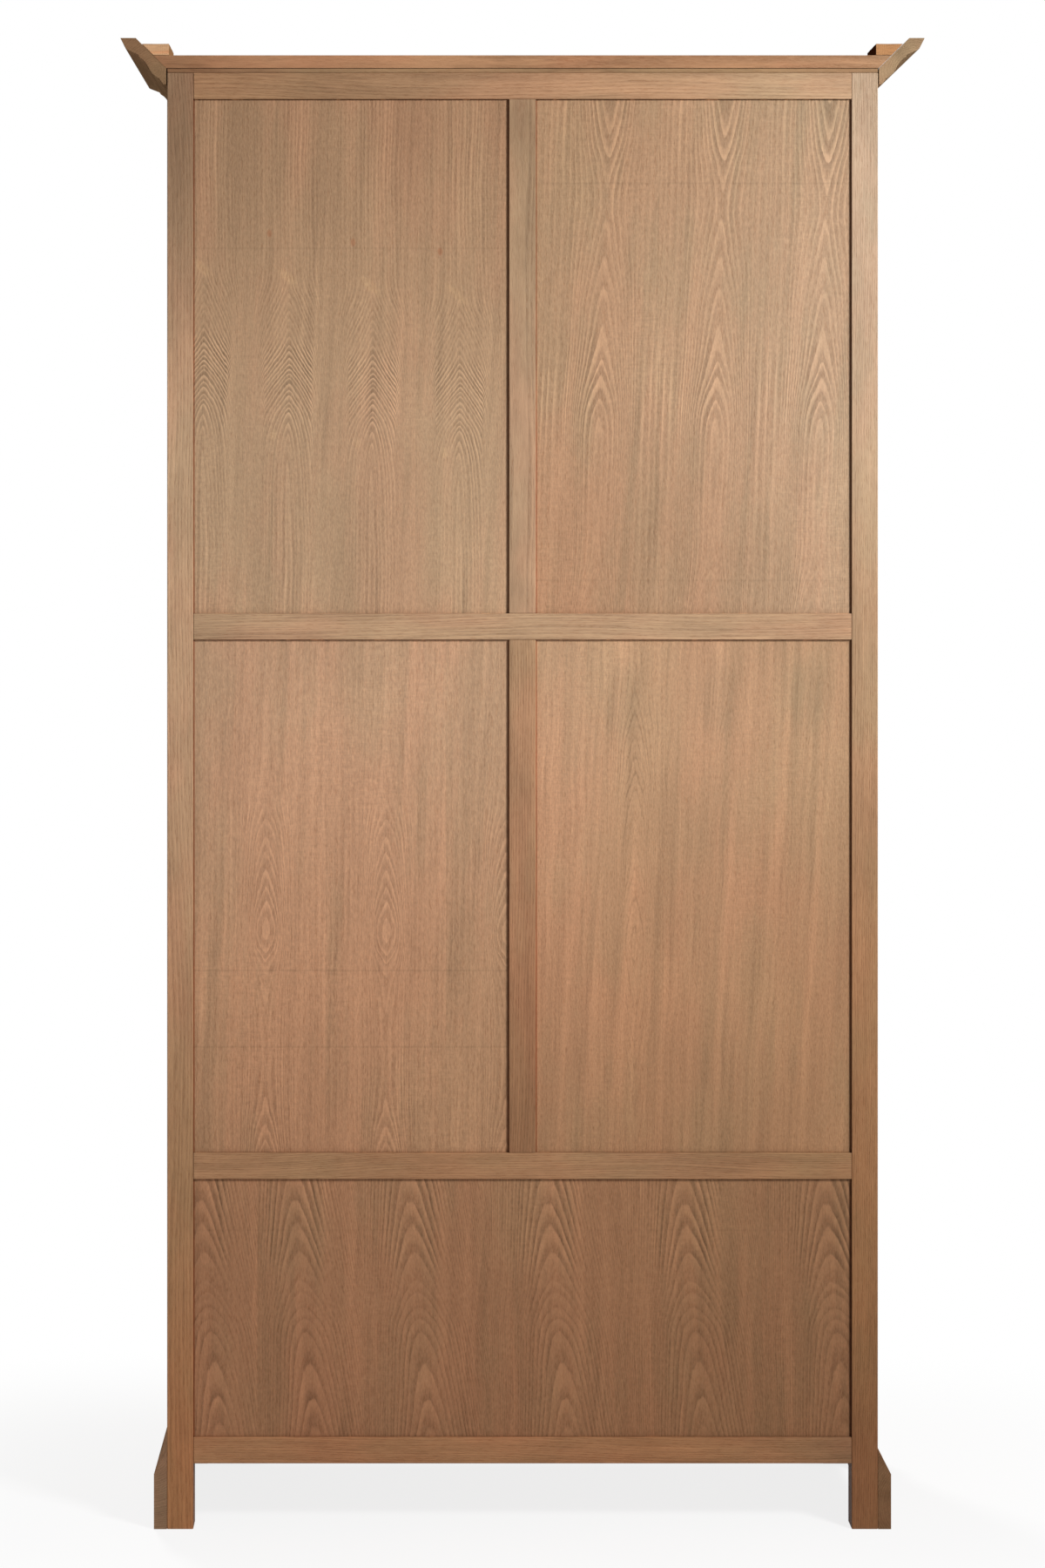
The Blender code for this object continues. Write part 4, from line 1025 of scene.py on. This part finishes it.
def add_floor(scene, stage):
    """A round floor that keeps the shadow near the cabinet and turns white further out."""
    turn = np.linspace(0, 2 * math.pi, 96, endpoint=False)
    rim = np.stack((np.cos(turn), np.sin(turn), np.zeros_like(turn)), -1) * FLOOR_RADIUS
    mesh = bpy.data.meshes.new("floor")
    mesh.from_pydata(rim.tolist(), [], [list(range(len(rim)))])
    floor = bpy.data.objects.new("floor", mesh)
    scene.collection.objects.link(floor)
    finish = new_finish("floor")
    x, y, z = finish.place()
    off_x = (abs(x) - CAD_BOX[1].x).higher(0)
    off_y = (abs(y) - REAR_Y).higher(0)
    far = finish.smooth(span(off_x, off_y), *SHADOW_REACH)
    matt, faint = (
        finish.node("ShaderNodeBsdfDiffuse", {}, {"Color": (*colour, 1)})
        for colour in (stage.floor_colour, (SHADOW_DEPTH,) * 3)
    )
    glow, white = (
        finish.node("ShaderNodeEmission", {}, {"Color": (1, 1, 1, 1), "Strength": strength})
        for strength in (1 - SHADOW_DEPTH, 1.0)
    )
    near = finish.node("ShaderNodeAddShader", {}, {0: faint, 1: glow})
    shown = finish.node("ShaderNodeMixShader", {}, {0: far, 1: near, 2: white})
    finish.end(finish.node("ShaderNodeMixShader", {}, {0: seen(finish), 1: matt, 2: shown}))
    mesh.materials.append(finish.owner)


class CABINET_OT_timbers(bpy.types.Operator):
    """Finish the legs, rails, mullions, stiles and boards, each cut from its own piece of oak."""

    bl_idname = "cabinet.timbers"
    bl_label = "Solid members"

    def execute(self, context):
        for node, cut in TIMBERS.items():
            coat(node, solid_oak(f"oak_{node}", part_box(node), *cut))
        return {"FINISHED"}


class CABINET_OT_back_veneer(bpy.types.Operator):
    """Finish the five panels of the back with leaves of figured veneer."""

    bl_idname = "cabinet.back_veneer"
    bl_label = "Back panels"

    def execute(self, context):
        for node, figure in BACK_VENEERS.items():
            coat(node, veneer(f"veneer_{node}", opening_of(node, 0, PANEL_TONGUE), "x", **figure))
        return {"FINISHED"}


class CABINET_OT_other_veneer(bpy.types.Operator):
    """Finish the side panels and the door panels."""

    bl_idname = "cabinet.other_veneer"
    bl_label = "Side and door panels"

    def execute(self, context):
        for node, figure in OTHER_VENEERS.items():
            across = 1 if node.startswith("side") else 0
            opening = opening_of(node, across, 0 if across else PANEL_TONGUE)
            middle = (opening[0][0] + opening[1][0]) / 2
            rest = {key: value for key, value in figure.items() if key != "offsets"}
            centres = [middle + offset for offset in figure["offsets"]]
            coat(node, veneer(f"veneer_{node}", opening, "xy"[across], centres, **rest))
        return {"FINISHED"}


def opening_of(node, across, end_tongue):
    """Low and high corner, across and up, of what shows of a panel between its grooves."""
    low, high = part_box(node)
    return (
        (low[across] + PANEL_TONGUE, low.z + end_tongue),
        (high[across] - PANEL_TONGUE, high.z - end_tongue),
    )


class CABINET_OT_drawer_box(bpy.types.Operator):
    """Finish the drawer's sides, back and bottom, which were never stained."""

    bl_idname = "cabinet.drawer_box"
    bl_label = "Drawer box"

    def execute(self, context):
        pale = settings("cabinet_detail").drawer_colour
        grains = {
            "drawer_side_left": "y", "drawer_side_right": "y", "drawer_back": "x",
            "drawer_bottom": "x",
        }
        for seed, (node, grain) in enumerate(grains.items(), 41):
            coat(node, solid_oak(f"pale_{node}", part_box(node), grain, seed, colour=pale))
        return {"FINISHED"}


# Section of the crown, as shares of its projection and height, and of the plinth
CROWN_GAP = 0.0015
CROWN_FOOT = ((0.09, 0.0), (0.16, 0.10), (0.165, 0.125))
CYMA_ENDS = ((0.20, 0.135), (0.605, 0.595))
CROWN_STEP = ((0.605, 0.62), (0.635, 0.645))
CROWN_NOSE = (0.885, 0.765)
NOSE_RADIUS = 0.004
CYMA_SWELL = 0.0016
PLUMB_CUT = 0.0235
# Grain, seed, tint, shades, painted shade side and tone of the sawn ends of the crown's three runs
CROWN_CUTS = {
    "left": ("y", 51.3, (0.906, 0.967, 0.97), {}, None, 1.0),
    # The right run's tint is partly painted shade, and its outer +X face takes more painted shade
    "right": ("y", 53.9, (0.69, 0.65, 0.60), {}, ("x", 1, (0.74, 0.72, 0.70)), 1.0),
    "front": ("x", 55.2, PLAIN, {}, None, 0.8),
}
# Tint of each glue block, and that of the painted shade on its inner end
BLOCK_CUTS = {
    "left": ((0.649, 0.578, 0.513), (0.10, 0.06, 0.05)),
    "right": ((0.99, 1.03, 1.11), (0.60, 0.58, 0.50)),
}
BLOCK_EASE = 0.0004
# Depth of the saw's waves on the blocks, and how close they lie along them
SAW_DEPTH = 0.00022
SAW_WAVES = (900, 143)


def crown_section():
    """Section of the crown: outwards and upwards from the foot of its plumb cut.

    The long double curve is a straight line with one sine wave of swell across it.
    """
    low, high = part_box("crown_left")
    size = np.array((-HALF_WIDTH - low.x, high.z - low.z))

    def point(share):
        return np.array(share) * size - (CROWN_GAP, 0)

    share = np.linspace(0, 1, settings("cabinet_detail").curve_steps + 1)[:, None]
    start, end = (point(each) for each in CYMA_ENDS)
    chord = unit(end - start)
    swell = CYMA_SWELL * np.sin(2 * math.pi * share) * (chord[1], -chord[0])
    cyma = start * (1 - share) + end * share + swell
    tip = point((1, 1))
    nose = rounded([point(CROWN_STEP[-1]), point(CROWN_NOSE), tip], NOSE_RADIUS, 10)[11:22]
    rest = [tip, (size[1] - PLUMB_CUT, size[1]), (0, PLUMB_CUT)]
    foot = [(0, 0), *(point(each) for each in CROWN_FOOT)]
    step = [point(each) for each in CROWN_STEP]
    return np.concatenate((foot, cyma, step, nose, rest))


def mitred_run(section, word, gap, low_z):
    """One run of moulding on the left, the right or the front, mitred where two runs meet.

    At a mitre each point of the section runs on by its own distance outwards, less the fit.
    """
    side_x, front_y = HALF_WIDTH + gap, FRONT_Y - gap
    past = section[:, 0] - FIT
    if word == "front":
        along = np.stack((-side_x - past, side_x + past))
        origin, out, way = (0, front_y, low_z), (0, -1, 0), (1, 0, 0)
    else:
        side = SIDES[word]
        along = np.stack((np.full(len(section), REAR_Y), front_y - past))
        origin, out, way = (side * side_x, 0, low_z), (side, 0, 0), (0, 1, 0)
    outline = np.broadcast_to(section, (2, *section.shape))
    return carried(outline, along, origin, out, (0, 0, 1), way)


class CABINET_OT_crown(bpy.types.Operator):
    """Add the crown's three mitred runs and its two rough glue blocks."""

    bl_idname = "cabinet.crown"
    bl_label = "Crown"

    def execute(self, context):
        detail = settings("cabinet_detail")
        section = crown_section()
        for word, cut in CROWN_CUTS.items():
            node = f"crown_{word}"
            wood = solid_oak(f"oak_{node}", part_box(node), *cut, gloss=0.0)
            form = mitred_run(section, word, CROWN_GAP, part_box(node)[0].z)
            piece(f"{node}_moulding", [form], "carcase", wood, [node],
                  detail.edge_ease)
        for word, side in SIDES.items():
            node = f"crown_block_{word}"
            tint, end_shade = BLOCK_CUTS[word]
            colour = [part * share for part, share in zip(detail.raw_colour, tint)]
            wood = sawn_wood(f"sawn_{node}", "x", 3.0 + side, colour, (-side, end_shade))
            form = rough_block(node, side)
            piece(f"{node}_sawn", [form], "carcase", wood, [node], BLOCK_EASE)
        return {"FINISHED"}


def rough_block(node, side):
    """A sawn block: a sloped section carried back, hollowed by shallow waves of the saw.

    Each point moves inwards by up to the roughness, as a product of sine waves along and round.
    """
    low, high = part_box(node)
    width, height = high.x - low.x, high.z - low.z
    corners = np.array(((0, 0), (width - height, 0), (width, height), (0, height)))
    share = np.linspace(0, 1, 12, endpoint=False)[:, None]
    sides = [a * (1 - share) + b * share for a, b in zip(corners, np.roll(corners, -1, 0))]
    section = np.concatenate(sides)
    length = np.linspace(0, high.y - low.y, 40)
    fine, coarse = (np.sin(length * waves)[:, None] for waves in SAW_WAVES)
    wave = fine * np.sin(np.arange(len(section)) * 0.9)[None] * 0.5 + coarse * 0.5
    inward = SAW_DEPTH * (1 + wave)[..., None] * unit(section.mean(0) - section)[None]
    outline = section[None] + inward
    along = np.broadcast_to(length[:, None], wave.shape)
    inner_x = low.x if side > 0 else high.x
    return carried(outline, along, (inner_x, low.y, low.z), (side, 0, 0), (0, 0, 1), (0, 1, 0))


BASE_THICKNESS = 0.0195
BASE_BEVEL = 0.036
FOOT_LENGTH = 0.105
ARCH_HEIGHT = 0.052
ARCH_RADIUS = 0.040
# Grain, seed and tint of the plinth's three boards
PLINTH_CUTS = {
    "left": ("y", 61.7, (0.727, 0.784, 0.793)), "right": ("y", 63.4, (1.08, 1.29, 1.49)),
    "front": ("x", 65.8),
}


def plinth_run(word):
    """One plinth board, whose lower edge rises between its two feet.

    At each station along the board the section starts at the lower edge's height there: nothing
    under a foot, a quarter circle at each end of the opening, and the arch's height between.
    """
    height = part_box("base_front")[1].z
    outer_x, outer_y = HALF_WIDTH + FIT + BASE_THICKNESS, FRONT_Y - FIT - BASE_THICKNESS
    turn = np.linspace(0, math.pi / 2, 15)
    rise = np.concatenate(([0.0], ARCH_HEIGHT - ARCH_RADIUS + ARCH_RADIUS * np.sin(turn)))
    inset = np.concatenate(([0.0], ARCH_RADIUS * (1 - np.cos(turn))))
    ends = (-outer_x, outer_x) if word == "front" else (outer_y, REAR_Y)
    start, end = ends[0] + FOOT_LENGTH + inset, ends[1] - FOOT_LENGTH - inset
    along = np.concatenate(([ends[0]], [start[0]], start, end[::-1], [end[0]], [ends[1]]))
    lower = np.concatenate(([0, 0], rise, rise[::-1], [0, 0]))
    shoulder, top = np.full_like(lower, height - BASE_BEVEL), np.full_like(lower, height)
    up = np.stack((lower, lower, shoulder, top), -1)
    out = np.array((0, BASE_THICKNESS, BASE_THICKNESS, 0.0))
    outline = np.stack((np.broadcast_to(out, up.shape), up), -1)
    run = np.repeat(along[:, None], 4, 1)
    back = BASE_THICKNESS - out + FIT
    run[0] += back
    if word == "front":
        run[-1] -= back
        return carried(outline, run, (0, FRONT_Y - FIT, 0), (0, -1, 0), (0, 0, 1), (1, 0, 0))
    side = SIDES[word]
    origin = (side * (HALF_WIDTH + FIT), 0, 0)
    return carried(outline, run, origin, (side, 0, 0), (0, 0, 1), (0, 1, 0))


class CABINET_OT_plinth(bpy.types.Operator):
    """Add the three plinth boards with their bracket feet."""

    bl_idname = "cabinet.plinth"
    bl_label = "Plinth"

    def execute(self, context):
        ease = settings("cabinet_detail").edge_ease
        for word, cut in PLINTH_CUTS.items():
            node = f"base_{word}"
            wood = solid_oak(f"oak_{node}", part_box(node), *cut, gloss=0.0)
            form = plinth_run(word)
            piece(f"{node}_board", [form], "carcase", wood, [node], ease)
        return {"FINISHED"}


# A knob's radii and heights, how its rim turns in, how its neck flares, and the bead of its foot
HEAD_RADIUS, NECK_RADIUS, FOOT_RADIUS = 0.0165, 0.0060, 0.0100
HEAD_DOME, RIM_HEIGHT, NECK_HEIGHT = 0.0075, 0.0225, 0.0113
RIM_DROP, RIM_INSET = 0.0022, 0.0012
FLARE_DROP, FLARE_WIDTH = 0.0081, 0.0030
BEAD_MIDDLE, BEAD_SWELL = 0.0016, 0.0015


def knob_profile(steps=14):
    """Profile of a knob from the middle of its head to its foot, as (radius, height) points.

    The head is a flat ellipse, the neck a hollow quarter circle, and the foot a disc with a bead.
    """
    turn = np.linspace(0, 1, steps)
    sine, cosine = np.sin(turn * math.pi / 2), np.cos(turn * math.pi / 2)
    under, low = HEAD_RADIUS - RIM_INSET, RIM_HEIGHT - RIM_DROP
    head = (HEAD_RADIUS * sine, RIM_HEIGHT + HEAD_DOME * cosine)
    ring = (HEAD_RADIUS - RIM_INSET * turn, RIM_HEIGHT - RIM_DROP * sine)
    neck = (under - (under - NECK_RADIUS) * sine, low - (low - NECK_HEIGHT) * (1 - cosine))
    flare = (NECK_RADIUS + FLARE_WIDTH * turn**2, NECK_HEIGHT - FLARE_DROP * turn)
    bead = (
        FOOT_RADIUS + BEAD_SWELL * np.sin(turn * math.pi),
        BEAD_MIDDLE * (1 + np.cos(turn * math.pi)),
    )
    head, ring, neck, flare, bead = (np.stack(part, -1) for part in (head, ring, neck, flare, bead))
    return np.concatenate((head, ring[1:], neck[1:], flare[1:], bead, [(0, 0)]))


class CABINET_OT_knobs(bpy.types.Operator):
    """Add the turned bronze knobs of the doors and the drawer."""

    bl_idname = "cabinet.knobs"
    bl_label = "Knobs"

    def execute(self, context):
        metal = bronze("aged_bronze_knobs")
        steps = settings("cabinet_detail").round_steps
        bodies = {
            "door_left_knob": "door_left", "door_right_knob": "door_right",
            "drawer_knob_left": "drawer", "drawer_knob_right": "drawer",
        }
        for node, body in bodies.items():
            low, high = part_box(node)
            foot = ((low.x + high.x) / 2, high.y, (low.z + high.z) / 2)
            form = turned(knob_profile(), steps, foot, (0, -1, 0))
            piece(f"{node}_turned", [form], body, metal, [node])
        return {"FINISHED"}


KNUCKLES = 5
KNUCKLE_GAP = 0.0003
KNUCKLE_EASE = 0.0004
BARREL_RADIUS = 0.0042
FINIAL_HEIGHT = 0.006
FINIAL_RADIUS = 0.0034
# The share of a half wave that a finial's profile follows, and the power that makes it fuller
FINIAL_WAVE = 0.86
FINIAL_FULLNESS = 0.7
LEAF_THICKNESS = 0.0012
LEAF_CORNER = 0.0009
LEAF_LAP = 0.001
DOOR_LEAF_PROUD = 0.0003
HINGE_STEPS = 32


def knuckle(centre_x, centre_y, low_z, high_z, radius, ease=KNUCKLE_EASE):
    """One knuckle of a hinge: a cylinder with eased rims, closed at both ends."""
    half = (high_z - low_z) / 2
    turn = np.linspace(0, math.pi / 2, 5)
    rim = np.stack((radius - ease + ease * np.sin(turn), half - ease + ease * np.cos(turn)), -1)
    profile = np.concatenate(([(0, half)], rim, rim[::-1] * (1, -1), [(0, -half)]))
    return turned(profile, HINGE_STEPS, (centre_x, centre_y, (low_z + high_z) / 2), (0, 0, 1))


def plate(x_ends, y_ends, z_ends):
    """A thin plate square to X: a rectangle with rounded corners carried through its thickness."""
    corners = [(y_ends[i], z_ends[j]) for i, j in ((0, 0), (1, 0), (1, 1), (0, 1))]
    outline = rounded(corners, LEAF_CORNER)
    section = np.broadcast_to(outline, (2, *outline.shape))
    along = np.repeat(np.array(x_ends, float)[:, None], len(outline), 1)
    return carried(section, along, (0, 0, 0), (0, 1, 0), (0, 0, 1), (1, 0, 0))


class CABINET_OT_hinges(bpy.types.Operator):
    """Add the butt hinges: one leaf and three knuckles on the leg, one leaf and two on the door."""

    bl_idname = "cabinet.hinges"
    bl_label = "Hinges"

    def execute(self, context):
        metal = bronze("aged_bronze_hinges")
        for side_word, side in SIDES.items():
            for word in ("upper", "lower"):
                add_hinge(f"door_{side_word}_hinge_{word}", side_word, side, metal)
        return {"FINISHED"}


def add_hinge(node, side_word, side, metal):
    """One butt hinge. Its knuckles are shared out in turn between the leg and the door."""
    low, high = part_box(node)
    axis_x = low.x + BARREL_RADIUS if side > 0 else high.x - BARREL_RADIUS
    axis_y = low.y + BARREL_RADIUS
    bottom, top = low.z + FINIAL_HEIGHT, high.z - FINIAL_HEIGHT
    levels = np.linspace(bottom, top, KNUCKLES + 1)
    leg_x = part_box(f"front_leg_{side_word}")[0 if side > 0 else 1].x - side * FIT
    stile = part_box(f"door_{side_word}_hinge_stile")
    door_x = stile[1 if side > 0 else 0].x
    leg_leaf = (leg_x, leg_x - side * LEAF_THICKNESS)
    door_leaf = (door_x - side * LEAF_THICKNESS, door_x + side * DOOR_LEAF_PROUD)
    parts = {"carcase": [], "door": []}
    for index in range(KNUCKLES):
        owner = "door" if index % 2 else "carcase"
        leaf = door_leaf if index % 2 else leg_leaf
        zs = (levels[index] + KNUCKLE_GAP / 2, levels[index + 1] - KNUCKLE_GAP / 2)
        parts[owner].append(knuckle(axis_x, axis_y, *zs, BARREL_RADIUS))
        parts[owner].append(plate(leaf, (axis_y, stile[0].y + LEAF_LAP), zs))
    inside_y = (stile[0].y, high.y)
    zs = (bottom + FIT, top - FIT)
    parts["carcase"].append(plate(leg_leaf, inside_y, zs))
    parts["door"].append(plate(door_leaf, inside_y, zs))
    turn = np.linspace(0, 1, 10)
    swell = np.sin(math.pi * (1 - turn * FINIAL_WAVE)) ** FINIAL_FULLNESS
    ball = np.stack((FINIAL_RADIUS * swell, FINIAL_HEIGHT * (1 - turn)), -1)
    ball[0, 0] = 0
    profile = np.concatenate((ball, [(0, 0)]))
    for end, way in ((top, 1), (bottom, -1)):
        form = turned(profile, HINGE_STEPS, (axis_x, axis_y, end), (0, 0, way))
        parts["carcase"].append(form)
    piece(f"{node}_on_leg", parts["carcase"], "carcase", metal, [node])
    piece(f"{node}_on_door", parts["door"], f"door_{side_word}", metal)


class CABINET_OT_beads(bpy.types.Operator):
    """Add the quarter-round beads that lie round each door panel."""

    bl_idname = "cabinet.beads"
    bl_label = "Door beads"

    def execute(self, context):
        for side_word in SIDES:
            for seed, word in enumerate(("lower", "upper"), 71):
                node = f"door_{side_word}_panel_{word}"
                for grain, kind in (("z", "uprights"), ("x", "crosspieces")):
                    name = f"door_{side_word}_bead_{word}_{kind}"
                    wood = solid_oak(f"oak_{name}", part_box(node), grain, seed, end_tone=1.0)
                    forms = bead_runs(node, grain)
                    piece(name, forms, f"door_{side_word}", wood)
        return {"FINISHED"}


BEAD_FOOT = 0.0006
BEAD_LIP = 0.0008
BEAD_GAP = 0.0001


def bead_runs(node, grain):
    """The two beads round a panel's opening that run along the grain, mitred at the corners.

    The section is a quarter circle on a thin foot. Each of its points runs from one side of the
    opening to the other, less its own distance inwards at both ends.
    """
    radius = settings("cabinet_detail").bead_radius
    low, high = opening_of(node, 0, PANEL_TONGUE)
    turn = np.linspace(0, math.pi / 2, 12)
    quarter = np.stack((np.cos(turn), np.sin(turn)), -1) * radius + (0, BEAD_FOOT)
    foot = ((0, 0), (radius + BEAD_LIP, 0), (radius + BEAD_LIP, BEAD_FOOT))
    section = np.concatenate((foot, quarter)) + (BEAD_GAP, 0)
    outline = np.broadcast_to(section, (2, *section.shape))
    run, across = (1, 0) if grain == "z" else (0, 1)
    along = np.stack((low[run] + section[:, 0], high[run] - section[:, 0]))
    out, way = np.zeros(3), np.zeros(3)
    out[across * 2], way[run * 2] = 1, 1
    face = (0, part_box(node)[0].y, 0)
    return [
        carried(outline, along, face + out * edge[across], out * inwards, (0, -1, 0), way)
        for edge, inwards in ((low, 1), (high, -1))
    ]


STEPS = (
    CABINET_OT_stage, CABINET_OT_timbers, CABINET_OT_back_veneer, CABINET_OT_other_veneer,
    CABINET_OT_drawer_box, CABINET_OT_crown, CABINET_OT_plinth, CABINET_OT_knobs,
    CABINET_OT_hinges, CABINET_OT_beads,
)


class CABINET_PT_sidebar(bpy.types.Panel):
    """The cabinet's pieces and settings."""

    bl_idname = "CABINET_PT_sidebar"
    bl_label = "Tall oak cabinet"
    bl_space_type = "VIEW_3D"
    bl_region_type = "UI"
    bl_category = "Cabinet"

    def draw(self, context):
        for step in STEPS:
            self.layout.operator(step.bl_idname)
        for name, group in SETTINGS.items():
            box = self.layout.box()
            for setting in group.__annotations__:
                box.prop(getattr(context.scene, name), setting)


CLASSES = (*SETTINGS.values(), *STEPS, CABINET_PT_sidebar)


def register():
    """Adds the classes, and the settings to the scene."""
    for each in CLASSES:
        bpy.utils.register_class(each)
    for name, group in SETTINGS.items():
        setattr(bpy.types.Scene, name, PointerProperty(type=group))


def unregister():
    """Takes the settings and the classes away again."""
    for name in SETTINGS:
        delattr(bpy.types.Scene, name)
    for each in reversed(CLASSES):
        bpy.utils.unregister_class(each)


def main():
    """Makes every piece in order."""
    register()
    for step in STEPS:
        group, action = step.bl_idname.split(".")
        getattr(getattr(bpy.ops, group), action)()


if __name__ == "__main__":
    main()
